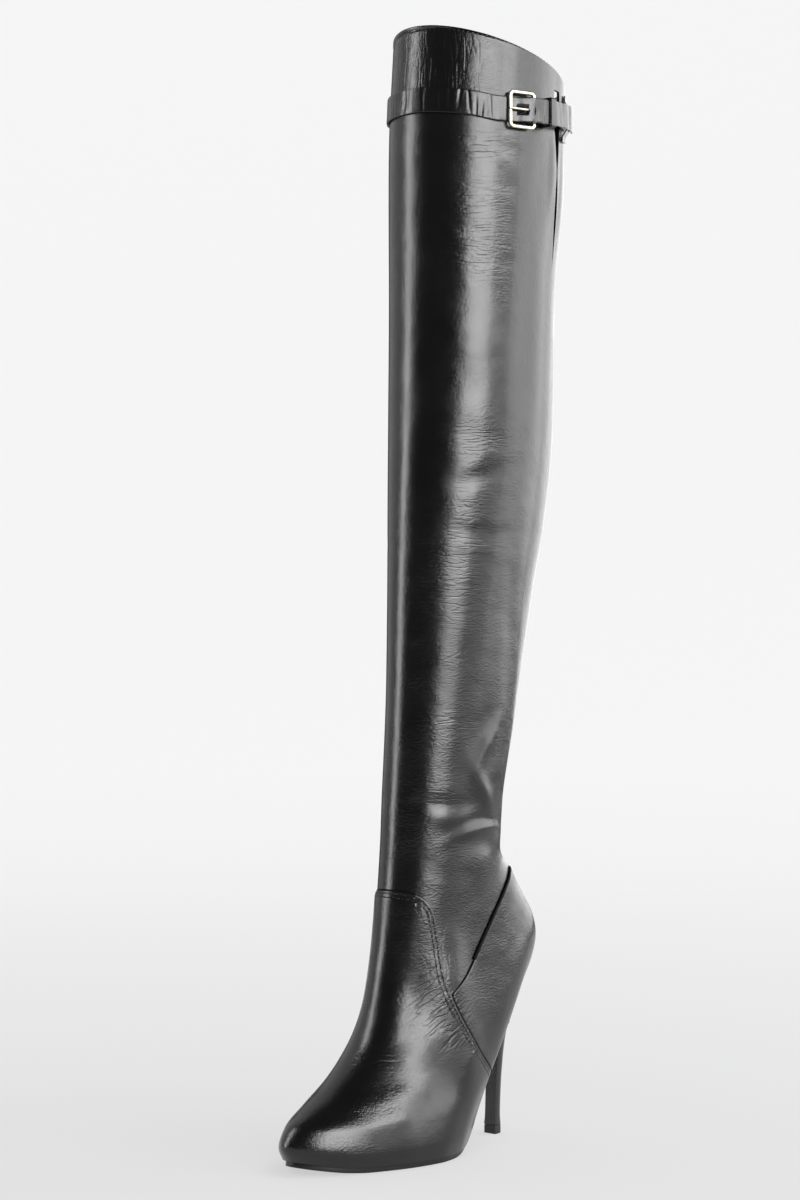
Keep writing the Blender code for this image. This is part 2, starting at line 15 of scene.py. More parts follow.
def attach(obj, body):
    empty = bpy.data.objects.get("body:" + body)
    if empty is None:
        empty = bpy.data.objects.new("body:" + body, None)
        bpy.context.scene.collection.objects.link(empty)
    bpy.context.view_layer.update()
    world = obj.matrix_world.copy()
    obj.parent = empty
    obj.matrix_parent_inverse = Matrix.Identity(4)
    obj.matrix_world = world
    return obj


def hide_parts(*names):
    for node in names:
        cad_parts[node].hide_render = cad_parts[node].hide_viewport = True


bl_info = {
    "name": "Thigh High Boot",
    "version": (1, 0, 0),
    "blender": (4, 5, 0),
    "location": "3D View > Sidebar > Boot",
    "description": "Dresses a thigh high boot in leather, seams, strap, buckle and studio light",
    "category": "Object",
}

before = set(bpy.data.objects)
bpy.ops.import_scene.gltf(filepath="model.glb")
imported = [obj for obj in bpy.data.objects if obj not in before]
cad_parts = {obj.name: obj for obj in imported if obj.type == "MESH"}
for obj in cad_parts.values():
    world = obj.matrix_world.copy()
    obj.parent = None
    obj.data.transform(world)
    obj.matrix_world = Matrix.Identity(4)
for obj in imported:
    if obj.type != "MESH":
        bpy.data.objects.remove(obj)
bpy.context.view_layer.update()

MM = 0.001
MERGE = 1e-6
SAME = 1e-9

# Last and shaft
FOOT_LENGTH = 230 * MM
TOE_REACH = 65 * MM
BALL_WIDTH = 78 * MM
HEEL_HEIGHT = 84 * MM
ANKLE_RISE = 115 * MM
TOE_SPRING = 5 * MM
TOE_CURVE = 5 * MM
BOOT_HEIGHT = 742 * MM
COLLAR_DROP = 33 * MM
COLLAR_CREST = 3 * MM
CALF_DEPTH = 125 * MM
CALF_WIDTH = 106 * MM

# Leather, sole and clearances
WALL = 1.8 * MM
OVERLAY = 1.0 * MM
SOLE = 3.8 * MM
SOLE_INSET = 1.2 * MM
INSOLE = 2.0 * MM
TIP_HEIGHT = 5.5 * MM
HEEL_WIDTH = 44 * MM
GAP = 0.3 * MM

# Strap and buckle
STRAP_WIDTH = 16.5 * MM
STRAP = 1.8 * MM
STRAP_BELOW = 50 * MM
STRAP_DROP = 7 * MM
CHAPE = 1.2 * MM
CHAPE_WIDTH = 14 * MM
BUCKLE_WIDTH = 21.5 * MM
BUCKLE_HEIGHT = 25 * MM
BAR = 2.4 * MM
PRONG = 1.8 * MM
KEEPER = 0.9 * MM
KEEPER_WIDTH = 5 * MM
LOOP = 1.0 * MM
LOOP_WIDTH = 9 * MM
LOOP_HEIGHT = 32 * MM

# Angles round the shaft: 0 at the front, 90 at the outer side, 180 at the back
BUCKLE_ANGLE = 72.5
KEEPER_ANGLE = 91.5
LOOP_ANGLE = 124
SLIT_ANGLE = 110.5

# Slit, from just above the strap down
SLIT_RISE = 12 * MM
SLIT_LENGTH = 118 * MM
SLIT_WIDTH = 9 * MM
SLIT_PUSH = 14 * MM

ANKLE_HEIGHT = HEEL_HEIGHT + ANKLE_RISE
SHAFT_HEIGHT = BOOT_HEIGHT - ANKLE_HEIGHT
STRAP_HEIGHT = BOOT_HEIGHT - STRAP_BELOW
SLIT_HEAD = STRAP_HEIGHT + SLIT_RISE
SLIT_FOOT = SLIT_HEAD - SLIT_LENGTH
SOLE_TOP = SOLE + GAP
CALF_RADIUS = (CALF_WIDTH + CALF_DEPTH) / 4
DEGREE = math.radians(1) * CALF_RADIUS
SKIN = 1.3 * GAP

# Sole line along the foot. along: share of the loop's length from the toe; rise: share of the heel's
# lift; spring: share of the toe spring.
SOLE_LINE = [
    # along, rise, spring
    (0.00, 0.000, 1.00),
    (0.06, 0.000, 0.55),
    (0.13, 0.000, 0.15),
    (0.20, 0.000, 0.00),
    (0.52, 0.000, 0.00),
    (0.575, 0.008, 0.00),
    (0.625, 0.045, 0.00),
    (0.675, 0.140, 0.00),
    (0.73, 0.320, 0.00),
    (0.80, 0.590, 0.00),
    (0.86, 0.790, 0.00),
    (0.92, 0.920, 0.00),
    (1.00, 1.000, 0.00),
]

# Sole outline, as shares of half the ball width, times the round of an ellipse.
SOLE_OUTLINE = [
    # along, outer, inner
    (0.00, 0.86, 0.86),
    (0.08, 0.93, 1.00),
    (0.15, 0.98, 1.08),
    (0.25, 1.03, 1.08),
    (0.35, 1.07, 1.05),
    (0.45, 1.08, 0.93),
    (0.55, 1.00, 0.75),
    (0.65, 0.82, 0.62),
    (0.75, 0.72, 0.63),
    (0.85, 0.72, 0.74),
    (0.93, 0.80, 0.84),
    (1.00, 0.85, 0.88),
]

# Loops of the foot, from the sole's edge to the ankle. front and back: shares of the foot's length from
# the toe; front_up: share of the ankle's height; back_up: share of the rise above the heel seat;
# width: share of the ball width; ellipse: 0 the sole's outline, 1 an ellipse; sag: share of the arch.
FOOT_LOOPS = [
    # front, front_up, back, back_up, width, ellipse, sag
    (0.016, 0.046, 0.884, 0.000, 1.00, 0.00, 1.00),
    (0.000, 0.085, 0.912, 0.115, 1.04, 0.10, 1.00),
    (0.022, 0.138, 0.950, 0.245, 1.03, 0.35, 0.90),
    (0.083, 0.185, 0.989, 0.375, 0.99, 0.65, 0.72),
    (0.165, 0.240, 1.000, 0.475, 0.95, 0.85, 0.50),
    (0.229, 0.297, 0.985, 0.575, 0.92, 1.00, 0.30),
    (0.286, 0.367, 0.944, 0.690, 0.89, 1.00, 0.15),
    (0.330, 0.462, 0.902, 0.795, 0.875, 1.00, 0.06),
    (0.367, 0.630, 0.865, 0.900, 0.865, 1.00, 0.00),
    (0.392, 0.820, 0.830, 0.960, 0.865, 1.00, 0.00),
]

SHIN = 0.409
TOE_CURVE_LOOPS = 7
TOE_CURVE_SHARE = 0.5
SLOPE_STEP = 0.004
HALVINGS = 32

# Loops of the shaft. up: share of the shaft's height; front and back: shares of the calf's depth behind
# the front of the ankle; width: share of the calf's width; tilt: share of the collar's drop.
SHAFT_LOOPS = [
    # up, front, back, width, tilt
    (0.000, 0.000, 0.752, 0.640, 0.00),
    (0.055, 0.018, 0.765, 0.655, 0.00),
    (0.175, 0.055, 0.880, 0.700, 0.00),
    (0.300, 0.080, 0.985, 0.775, 0.00),
    (0.425, 0.105, 1.095, 0.880, 0.00),
    (0.525, 0.128, 1.128, 0.945, 0.05),
    (0.690, 0.150, 1.125, 0.985, 0.25),
    (0.860, 0.160, 1.190, 1.040, 0.65),
    (1.000, 0.200, 1.195, 1.030, 1.00),
]

# Slit in the shaft. up: share from its foot to its head; fore and aft: shares of its width.
SLIT = [
    # up, fore, aft
    (0.00, 0.00, 0.02),
    (0.12, 0.10, 0.14),
    (0.28, 0.22, 0.28),
    (0.42, 0.18, 0.22),
    (0.54, 0.09, 0.09),
    (0.66, 0.34, 0.30),
    (0.80, 0.60, 0.42),
    (0.96, 0.60, 0.46),
    (1.00, 0.52, 0.42),
]

# Seams seen from the side. along: share of the foot's length from the toe; up: share of the ankle's
# height.
VAMP_SEAM = [
    # along, up
    (0.340, 0.872),
    (0.400, 0.868),
    (0.431, 0.852),
    (0.456, 0.811),
    (0.466, 0.750),
    (0.472, 0.676),
    (0.478, 0.590),
    (0.491, 0.529),
    (0.521, 0.438),
    (0.568, 0.357),
    (0.653, 0.270),
    (0.760, 0.180),
]
COUNTER_SEAM = [
    # along, up
    (0.491, 0.529),
    (0.576, 0.625),
    (0.635, 0.712),
    (0.705, 0.803),
    (0.781, 0.876),
    (0.850, 0.915),
    (1.060, 0.925),
]

# Strap from its sewn end, round the inner side and the front, through the buckle to its tail.
# angle: degrees round the shaft; lift: share of the height over the buckle's rear bar; drop: share of
# the strap's drop.
STRAP_PATH = [
    # angle, lift, drop
    (-158, 0.00, 0.60),
    (-90, 0.00, 0.10),
    (0, 0.00, 0.05),
    (40, 0.00, 0.55),
    (60, 0.00, 1.00),
    (65, 0.01, 1.00),
    (69, 0.12, 1.00),
    (73, 0.48, 1.00),
    (77, 0.84, 1.00),
    (80, 0.98, 1.00),
    (83, 1.00, 1.00),
    (87, 0.98, 0.98),
    (91, 0.92, 0.95),
    (100, 0.80, 0.85),
    (118, 0.66, 0.65),
    (134, 0.60, 0.60),
]

# Short strap under the tail, from the buckle's rear bar to where it is sewn behind the slit.
# angle: degrees behind the bar; under_bar and in_keeper: shares of its heights there.
CHAPE_PATH = [
    # angle, under_bar, in_keeper
    (0, 1.00, 0.00),
    (3, 0.95, 0.25),
    (8, 0.20, 1.00),
    (13, 0.00, 1.00),
    (22, 0.00, 0.50),
    (32, 0.00, 0.05),
    (56, 0.00, 0.00),
]

# Heel. up: share from the tip to the seat; front and back: shares of the foot's length from the toe;
# half: share of the heel's width; follow: how far the loop follows the sole above it.
HEEL_LOOPS = [
    # up, front, back, half, follow
    (0.000, 0.8350, 0.8760, 0.112, 0.00),
    (0.100, 0.8368, 0.8740, 0.102, 0.00),
    (0.400, 0.8410, 0.8785, 0.106, 0.00),
    (0.620, 0.8440, 0.8850, 0.122, 0.00),
    (0.740, 0.8420, 0.8875, 0.160, 0.05),
    (0.840, 0.8350, 0.8880, 0.230, 0.30),
    (0.930, 0.8200, 0.8870, 0.320, 0.72),
    (1.000, 0.8000, 0.8830, 0.385, 1.00),
]

# Folds in the leather. height and angle: its middle, in millimetres and degrees; run and
# width: its half length and half width in millimetres; depth: millimetres out, minus in; slope: rise
# over run towards the back; bow: how far its ends turn up, in millimetres.
FOLDS = [
    # height, angle, run, width, depth, slope, bow
    # Pinch over the ankle, at the outer side to the back
    (267, 88, 18, 5.0, 1.1, 1.50, 0),
    (273, 77, 22, 10.0, -0.7, 1.50, 0),
    (237, 92, 20, 5.0, 1.1, -1.53, 0),
    (230, 80, 22, 9.0, -0.7, -1.53, 0),
    # Ridge round the ankle, with the hollows over and under it
    (212.5, 92, 24, 2.8, 0.8, 0.06, -4),
    (219.0, 92, 24, 4.5, -0.8, 0.06, -4),
    (203.0, 95, 22, 7.0, -0.6, 0.02, -3),
    (192.0, 92, 9, 14.0, 0.4, 0.90, 0),
    # Break in the light over the ankle
    (228.5, 57, 20, 5.0, -0.9, -0.06, 0),
    (222.0, 52, 12, 8.0, 0.4, 0.00, 0),
    # Slack of the calf, front to outer side
    (443.0, 57, 26, 6.5, -0.7, 0.40, 0),
    (431.0, 50, 22, 9.0, 0.3, 0.30, 0),
    (455.0, 58, 18, 8.0, 0.3, 0.20, 0),
    (406.5, 64, 24, 6.0, -0.5, -0.05, 0),
    (469.5, 53, 20, 5.0, -0.35, -0.20, 0),
    (398.5, -22, 16, 4.0, -0.3, -0.10, 0),
    (500.0, 40, 16, 12.0, -0.5, 0.15, 0),
    (528.0, 52, 22, 14.0, 0.4, -0.20, 0),
    (556.0, 44, 20, 9.0, -0.35, 0.25, 0),
    (596.5, -16, 14, 3.0, -0.3, 0.02, 0),
    # Under the strap
    (661.0, 50, 26, 4.0, -0.25, -0.12, 0),
    (652.0, 52, 24, 5.0, 0.2, -0.12, 0),
    (634.0, 60, 18, 4.0, -0.15, -0.16, 0),
    (619.0, 56, 16, 4.0, -0.15, -0.20, 0),
    (603.0, 48, 20, 4.5, -0.2, -0.30, 0),
    (588.0, 56, 18, 4.0, -0.15, -0.15, 0),
    (676.0, 0, 20, 3.5, -0.3, 0.00, 3),
    # Broad waves down the outer side to the back
    (540.0, 84, 60, 9.0, -0.7, 20.0, 0),
    (520.0, 98, 70, 9.0, 0.5, 20.0, 0),
    (480.0, 122, 80, 10.0, -0.6, 20.0, 0),
    (640.0, 92, 26, 9.0, -0.6, 8.0, 0),
    (350.0, 96, 60, 8.0, -0.5, -12.0, 0),
    (340.0, 112, 60, 8.0, 0.5, -12.0, 0),
    (330.0, 30, 60, 9.0, -0.3, 20.0, 0),
    # Round of the instep's outer side
    (112.0, 70, 28, 15.0, 3.0, 20.0, 0),
    (86.0, 79, 24, 15.0, 3.0, 20.0, 0),
    (60.0, 86, 20, 13.0, 2.2, 20.0, 0),
    (104.0, 38, 34, 13.0, -2.0, 20.0, 0),
    (70.0, 34, 24, 12.0, -1.2, 20.0, 0),
    (26.0, 64, 16, 9.0, 0.9, 20.0, 0),
    # Edges of the slit: the front one curls out, the back one lies in
    (650.0, 104, 26, 3.2, 1.1, 20.0, 0),
    (640.0, 117, 36, 4.0, -0.6, 20.0, 0),
]

# Patches of thin creases. way: which way they run; height and angle: the middle, in millimetres and
# degrees; run and width: half the patch along and across its creases, and depth, in millimetres.
CREASES = [
    # way, height, angle, run, width, depth
    ("upright", 718, 0, 46, 30, 0.10),
    ("upright", 715, 52, 40, 26, 0.05),
    ("level", 660, 52, 30, 11, 0.09),
    ("level", 627, 48, 24, 15, 0.08),
    ("level", 592, 52, 30, 20, 0.09),
    ("level", 597, -25, 16, 7, 0.12),
    ("level", 572, -30, 15, 8, 0.10),
    ("level", 537, -30, 15, 8, 0.10),
    ("level", 466, 52, 28, 12, 0.10),
    ("level", 425, 48, 24, 20, 0.06),
    ("level", 400, -25, 18, 8, 0.12),
    ("level", 398, 52, 28, 10, 0.08),
    ("level", 370, 45, 22, 26, 0.07),
    ("level", 283, 50, 20, 8, 0.09),
    ("level", 236, 50, 16, 9, 0.06),
    ("upright", 122, 58, 12, 26, 0.10),
    ("slant", 112, 46, 16, 20, 0.07),
    ("slant", 95, 62, 20, 15, 0.16),
    ("slant", 78, 70, 16, 10, 0.12),
    ("level", 66, 10, 20, 4, 0.12),
]


def mix(start, end, share):
    return start + (end - start) * share


def curve(rows, column, at):
    """A column of a table as a smooth curve of its first column, with no overshoot between its rows."""
    x = np.array([row[0] for row in rows], float)
    y = np.array([row[column] for row in rows], float)
    slopes = np.diff(y) / np.diff(x)
    before, after = slopes[:-1], slopes[1:]
    turns = before * after <= 0
    total = np.where(turns, 1, before + after)
    lean = np.concatenate([slopes[:1], np.where(turns, 0, 2 * before * after / total), slopes[-1:]])
    at = np.clip(at, x[0], x[-1])
    i = np.clip(np.searchsorted(x, at, side="right") - 1, 0, len(x) - 2)
    step = x[i + 1] - x[i]
    t = (at - x[i]) / step
    start = (1 + 2 * t) * (1 - t) ** 2 * y[i] + t * (1 - t) ** 2 * step * lean[i]
    end = t * t * (3 - 2 * t) * y[i + 1] - t * t * (1 - t) * step * lean[i + 1]
    return start + end


def foot_y(share):
    return share * FOOT_LENGTH - TOE_REACH


LOOP_START = foot_y(FOOT_LOOPS[0][0])
LOOP_END = foot_y(FOOT_LOOPS[0][2])
TOE_HEIGHT = SOLE_TOP + TOE_SPRING


def sole_line(y):
    """Height of the upper's lower edge, which is the top of the sole, at one place along the foot."""
    share = (y - LOOP_START) / (LOOP_END - LOOP_START)
    lift = curve(SOLE_LINE, 1, share) * (HEEL_HEIGHT - SOLE_TOP)
    return SOLE_TOP + lift + curve(SOLE_LINE, 2, share) * TOE_SPRING


def arch_dip(share):
    """How far the sole's edge lies below the straight line from the toe to the heel seat."""
    return mix(TOE_HEIGHT, HEEL_HEIGHT, share) - sole_line(mix(LOOP_START, LOOP_END, share))


def loop_rows():
    """Every loop as (front y, front z, back y, back z, half width, ellipse, sag, crest)."""
    rows = []
    for front, front_up, back, back_up, width, ellipse, sag in FOOT_LOOPS:
        front_z = front_up * ANKLE_HEIGHT
        back_z = HEEL_HEIGHT + back_up * ANKLE_RISE
        rows.append((foot_y(front), front_z, foot_y(back), back_z, width * BALL_WIDTH / 2, ellipse, sag, 0))
    rows[0] = (LOOP_START, TOE_HEIGHT) + rows[0][2:]
    shin = foot_y(SHIN)
    for up, front, back, width, tilt in SHAFT_LOOPS:
        z = ANKLE_HEIGHT + up * SHAFT_HEIGHT
        ends = (shin + front * CALF_DEPTH, z, shin + back * CALF_DEPTH, z - tilt * COLLAR_DROP)
        rows.append(ends + (width * CALF_WIDTH / 2, 1, 0, tilt * COLLAR_CREST))
    return rows


LOOPS = [(index,) + row for index, row in enumerate(loop_rows())]
TOP = len(LOOPS) - 1


def surface(level, angle):
    """Points of the upper's outer face. level runs over the loops, angle in radians round each."""
    level, angle = np.broadcast_arrays(np.asarray(level, float), np.asarray(angle, float))
    front_y, front_z, back_y, back_z, half, ellipse, sag, crest = (
        curve(LOOPS, column, level) for column in range(1, 9)
    )
    share = (1 - np.cos(angle)) / 2
    outer = curve(SOLE_OUTLINE, 1, share)
    inner = curve(SOLE_OUTLINE, 2, share)
    outline = mix(np.where(np.sin(angle) >= 0, outer, inner), 1, ellipse)
    bend = (1 - np.minimum(1, level / TOE_CURVE_LOOPS)) * (1 - np.minimum(1, share / TOE_CURVE_SHARE)) ** 2
    x = half * outline * np.sin(angle) - TOE_CURVE * bend
    z = mix(front_z, back_z, share) - sag * arch_dip(share) + crest * -np.sin(angle)
    return np.stack([x, mix(front_y, back_y, share), z], axis=-1)


def unit(vectors):
    return vectors / np.linalg.norm(vectors, axis=-1, keepdims=True)


def outward(level, angle):
    """Which way the upper's outer face looks."""
    level, angle = np.broadcast_arrays(np.asarray(level, float), np.asarray(angle, float))
    around = surface(level, angle + SLOPE_STEP) - surface(level, angle - SLOPE_STEP)
    above = surface(np.minimum(level + SLOPE_STEP, TOP), angle)
    upward = above - surface(np.maximum(level - SLOPE_STEP, 0), angle)
    return unit(np.cross(around, upward))


def level_at(angle, height):
    """The level at which the upper's face has a given height, at an angle in radians."""
    angle, height = np.broadcast_arrays(np.asarray(angle, float), np.asarray(height, float))
    low = np.zeros(angle.shape)
    high = np.full(angle.shape, float(TOP))
    for _ in range(HALVINGS):
        middle = (low + high) / 2
        under = surface(middle, angle)[..., 2] < height
        low = np.where(under, middle, low)
        high = np.where(under, high, middle)
    return low


def shaft_points(degrees, heights, offsets=0.0):
    """Points of the shaft at some angles and heights, moved outward level, and those directions."""
    angle = np.radians(np.asarray(degrees, float))
    level = level_at(angle, heights)
    flat = unit(outward(level, angle) * (1, 1, 0))
    return surface(level, angle) + flat * np.asarray(offsets)[..., None], flat


def shaft_point(degrees, height, offset=0.0):
    spot, flat = shaft_points(degrees, height, offset)
    return Vector(spot), Vector(flat)


def fold_places():
    """Every fold as its middle, its direction, the way across it, the way out, and its sizes in metres."""
    height, degrees, run, width, depth, slope, bow = np.array(FOLDS, float).T
    angle = np.radians(degrees)
    level = level_at(angle, height * MM)
    out = outward(level, angle)
    level_way = unit(np.cross([0, 0, 1], out))
    way = unit(level_way + slope[:, None] * np.cross(out, level_way))
    sizes = np.array([run, width, depth, bow]) * MM
    return list(zip(surface(level, angle), way, np.cross(out, way), out, *sizes))


FOLD_DEPTH = 18 * MM
FOLD_PLACES = fold_places()


def relief(points):
    """How far the folds move each point of the leather out."""
    total = np.zeros(points.shape[:-1])
    for middle, way, across, out, run, width, depth, bow in FOLD_PLACES:
        gap = points - middle
        along = gap @ way / run
        aside = (gap @ across - bow * along**2) / width
        under = gap @ out / FOLD_DEPTH
        total += depth * np.exp(-(along**2) - aside**2 - under**2)
    return total


SIDE_SAMPLES = 1200


def run_along(points):
    """Distance from the first point of a line to each of its points."""
    return np.concatenate([[0], np.cumsum(np.linalg.norm(np.diff(points, axis=0), axis=1))])


def even_levels(spacing, last=TOP):
    """Levels spaced evenly along the outer side of the upper."""
    fine = np.linspace(0, last, SIDE_SAMPLES)
    run = run_along(surface(fine, math.pi / 2))
    count = max(2, round(run[-1] / spacing))
    return np.interp(np.linspace(0, run[-1], count + 1), run, fine)


def grid(columns, rows):
    """A flat grid with a UV map, and for each of its points how far it lies across and up, from 0 to 1."""
    work = bmesh.new()
    work.loops.layers.uv.new("UVMap")
    bmesh.ops.create_grid(work, x_segments=columns, y_segments=rows, size=0.5, calc_uvs=True)
    flat = np.array([vert.co[:2] for vert in work.verts]) + 0.5
    return work, flat[:, 0], flat[:, 1]


def put(work, points):
    for vert, point in zip(work.verts, points):
        vert.co = point


def smooth(mesh, crease):
    """Shades a mesh smooth, with sharp edges past an angle in degrees."""
    mesh.shade_smooth()
    mesh.set_sharp_from_angle(angle=math.radians(crease))


def to_mesh(work, name, crease=35, merge=MERGE):
    if merge:
        bmesh.ops.remove_doubles(work, verts=work.verts, dist=merge)
    mesh = bpy.data.meshes.new(name)
    work.to_mesh(mesh)
    work.free()
    smooth(mesh, crease)
    return mesh


def add_object(name, mesh):
    old = bpy.data.objects.get(name)
    if old is not None:
        bpy.data.objects.remove(old, do_unlink=True)
    made = bpy.data.objects.new(name, mesh)
    bpy.context.scene.collection.objects.link(made)
    return made


def apply_modifiers(part):
    """Makes what the modifiers give the object's own mesh."""
    graph = bpy.context.evaluated_depsgraph_get()
    made = bpy.data.meshes.new_from_object(part.evaluated_get(graph))
    old = part.data
    part.modifiers.clear()
    part.data = made
    bpy.data.meshes.remove(old)


def finish_piece(part, finish, slot, *nodes):
    """Gives a piece its finish, hangs it under the root and hides the imported solids it stands in for."""
    part.data.materials.clear()
    part.data.materials.append(finish)
    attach(part, "root")
    if nodes:
        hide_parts(*nodes)
    return part


def boolean(part, cutter, operation="DIFFERENCE"):
    cut = part.modifiers.new("Cut", "BOOLEAN")
    cut.operation = operation
    cut.object = cutter
    cut.solver = "EXACT"
    apply_modifiers(part)
    bpy.data.objects.remove(cutter, do_unlink=True)


def prism(name, outline, across):
    """A cutter: a flat outline pushed both ways along a direction."""
    work = bmesh.new()
    face = work.faces.new([work.verts.new(point - across) for point in outline])
    pushed = bmesh.ops.extrude_face_region(work, geom=[face])["geom"]
    corners = [item for item in pushed if isinstance(item, bmesh.types.BMVert)]
    bmesh.ops.translate(work, verts=corners, vec=across * 2)
    bmesh.ops.recalc_face_normals(work, faces=work.faces)
    return add_object(name, to_mesh(work, name))


# Upper

RIM_STEPS = 6
RIM_POINTS = 361
LINING_ROWS = 60
LEATHER_CREASE = 50
HEM = 2.6 * MM
HEM_SWELL = 0.25 * MM
HEM_GROOVE = 0.7 * MM
HEM_GROOVE_HALF = 0.8 * MM
HEM_ROWS = (5.5, 4.4, 3.7, 3.1, 2.6, 2.1, 1.5, 0.8)
SLIT_STEPS = 60
SLIT_POINT = 0.05 * MM
RIM_THREAD_LIFT = -0.45 * MM
STITCH_STEP = 3.2 * MM
STITCH_LENGTH = 2.3 * MM
STITCH_THICK = 0.75 * MM


def rim_height(angle):
    return BOOT_HEIGHT - COLLAR_DROP * (1 - np.cos(angle)) / 2


def upper_path(spacing, inner_rows):
    """The upper's section up the outside, over the rim and down inside, as levels and depths."""
    hem = TOP - np.array(HEM_ROWS) * MM / ((1 - SHAFT_LOOPS[-2][0]) * SHAFT_HEIGHT)
    outside = even_levels(spacing)
    outside = np.concatenate([outside[outside < hem[0]], hem, [TOP]])
    level = list(outside)
    depth = [0.0] * len(outside)
    for step in range(1, RIM_STEPS):
        level.append(TOP)
        depth.append(step / RIM_STEPS)
    inside = np.linspace(TOP, 0, inner_rows + 1)
    level += list(inside)
    depth += [1.0] * len(inside)
    return np.array(level + [0.0]), np.array(depth + [0.0])


def upper_points(level, depth, angle):
    """Points of the upper between its outer face, at depth 0, and its lining, at depth 1."""
    face = surface(level, angle)
    out = outward(level, angle)
    moved = relief(face)
    below = rim_height(angle) - face[..., 2]
    outer = depth < 0.5
    swell = np.exp(-((np.maximum(below, 0) / HEM) ** 4)) * HEM_SWELL
    groove = np.exp(-(((below - HEM) / HEM_GROOVE_HALF) ** 2)) * HEM_GROOVE
    moved = moved + np.where(outer, swell - groove, -swell)
    rim = (level >= TOP) & (depth > 0) & (depth < 1)
    bulge = np.where(rim, np.sin(np.pi * depth), 0)
    inward = np.where(rim, (1 - np.cos(np.pi * depth)) / 2, depth)
    points = face + out * (moved - inward * WALL)[..., None]
    points[..., 2] += bulge * WALL / 2 - np.where(level >= TOP, WALL / 2, 0)
    return points


def make_upper(settings, finish):
    level, depth = upper_path(settings.leather_step, LINING_ROWS)
    work, across, up = grid(settings.columns, len(level) - 1)
    row = np.rint(up * (len(level) - 1)).astype(int)
    angle = across * 2 * math.pi
    put(work, upper_points(level[row], depth[row], angle))
    upper = add_object("upper_leather", to_mesh(work, "upper_leather", crease=LEATHER_CREASE))
    middle = (SLIT_FOOT + SLIT_HEAD) / 2
    centre, way_out = shaft_point(SLIT_ANGLE, middle)
    tangent = Vector((-way_out.y, way_out.x, 0))
    fore, aft = [], []
    for share in np.linspace(0, 1, SLIT_STEPS + 1):
        spot = centre + Vector((0, 0, mix(SLIT_FOOT, SLIT_HEAD, share) - middle))
        fore.append(spot - tangent * float(curve(SLIT, 1, share)) * SLIT_WIDTH)
        aft.append(spot + tangent * float(curve(SLIT, 2, share)) * SLIT_WIDTH)
    fore[0] = fore[0] - tangent * SLIT_POINT
    boolean(upper, prism("slit", fore + aft[::-1], way_out * SLIT_PUSH))
    smooth(upper.data, LEATHER_CREASE)
    turn = np.linspace(0, 2 * math.pi, RIM_POINTS)
    level = level_at(turn, rim_height(turn) - HEM - WALL / 2)
    path = list(zip(surface(level, turn), outward(level, turn)))
    thread = stitches("rim_thread", [path], STITCH_STEP, STITCH_LENGTH, STITCH_THICK, RIM_THREAD_LIFT)
    upper = join("upper_leather", [upper, thread])
    mark_creases(upper)
    return finish_piece(upper, finish, "upper_leather", "upper")


# Panels laid over the upper

EDGE_ROUND = 0.8 * MM
EDGE_SHARE = 0.3
PANEL_LIFT = 1.2 * GAP
PANEL_LOOPS = len(FOOT_LOOPS) + 1
STITCH_ROWS = (2.0 * MM, 4.6 * MM)
SEAM_STEPS = 240
SEAM_BEYOND = 60 * MM
SEWN_GROOVE = 0.5 * MM
SEWN_GROOVE_HALF = 0.7 * MM
# Painted shade: dark bands along the bottoms of the stitch grooves
GROOVE_SHADE_WIDTH = 1.0 * MM
GROOVE_SHADE_THICK = 0.4 * MM
GROOVE_SHADE_LIFT = 0.1 * MM
BAND_STEP = 0.8 * MM
SEAM_NEAR = 0.1 * MM
RAW_EDGE = 2.4 * MM
VAMP_RAW_EDGE = 1.3 * MM
RAW_EDGE_THICK = 1.2 * MM
RAW_EDGE_LIFT = 0.5 * MM


def seam_line(rows):
    """A seam's table as a fine line seen from the side, run on past both its ends."""
    corners = np.array([(foot_y(along), up * ANKLE_HEIGHT) for along, up in rows])
    run = run_along(corners)
    at = np.linspace(0, run[-1], SEAM_STEPS)
    table = [(place, *corner) for place, corner in zip(run, corners)]
    line = np.stack([curve(table, 1, at), curve(table, 2, at)], axis=1)
    first = line[0] + unit(line[0] - line[3]) * SEAM_BEYOND
    last = line[-1] + unit(line[-1] - line[-4]) * SEAM_BEYOND
    return np.concatenate([[first], line, [last]])


def seam_distance(points, normals, line):
    """Distance over the leather from each point to a seam, plus on its right, seen from the outer side."""
    flat = points[:, 1:]
    best = np.full(len(flat), np.inf)
    side = np.ones(len(flat))
    way = np.zeros_like(flat)
    for start, end in zip(line, line[1:]):
        run = end - start
        share = np.clip((flat - start) @ run / (run @ run), 0, 1)
        apart = flat - (start + share[:, None] * run)
        far = np.linalg.norm(apart, axis=1)
        nearer = far < best
        best = np.where(nearer, far, best)
        turn = run[0] * apart[:, 1] - run[1] * apart[:, 0]
        side = np.where(nearer, np.where(turn >= 0, 1.0, -1.0), side)
        way = np.where(nearer[:, None], apart, way)
    lean = (normals[:, 1:] * way).sum(1) / np.maximum(best, SAME)
    return side * best / np.sqrt(np.maximum(1 - lean**2, 0.1))


def score(work, layer, value):
    """Adds a line of points and edges where the layer's number passes value."""
    made = []
    for edge in list(work.edges):
        first, second = edge.verts
        start, end = first[layer] - value, second[layer] - value
        if start * end < 0:
            vert = bmesh.utils.edge_split(edge, first, start / (start - end))[1]
            vert[layer] = value
            made.append(vert)
        else:
            made += [vert for vert in edge.verts if vert[layer] == value]
    bmesh.ops.connect_verts(work, verts=list(dict.fromkeys(made)))


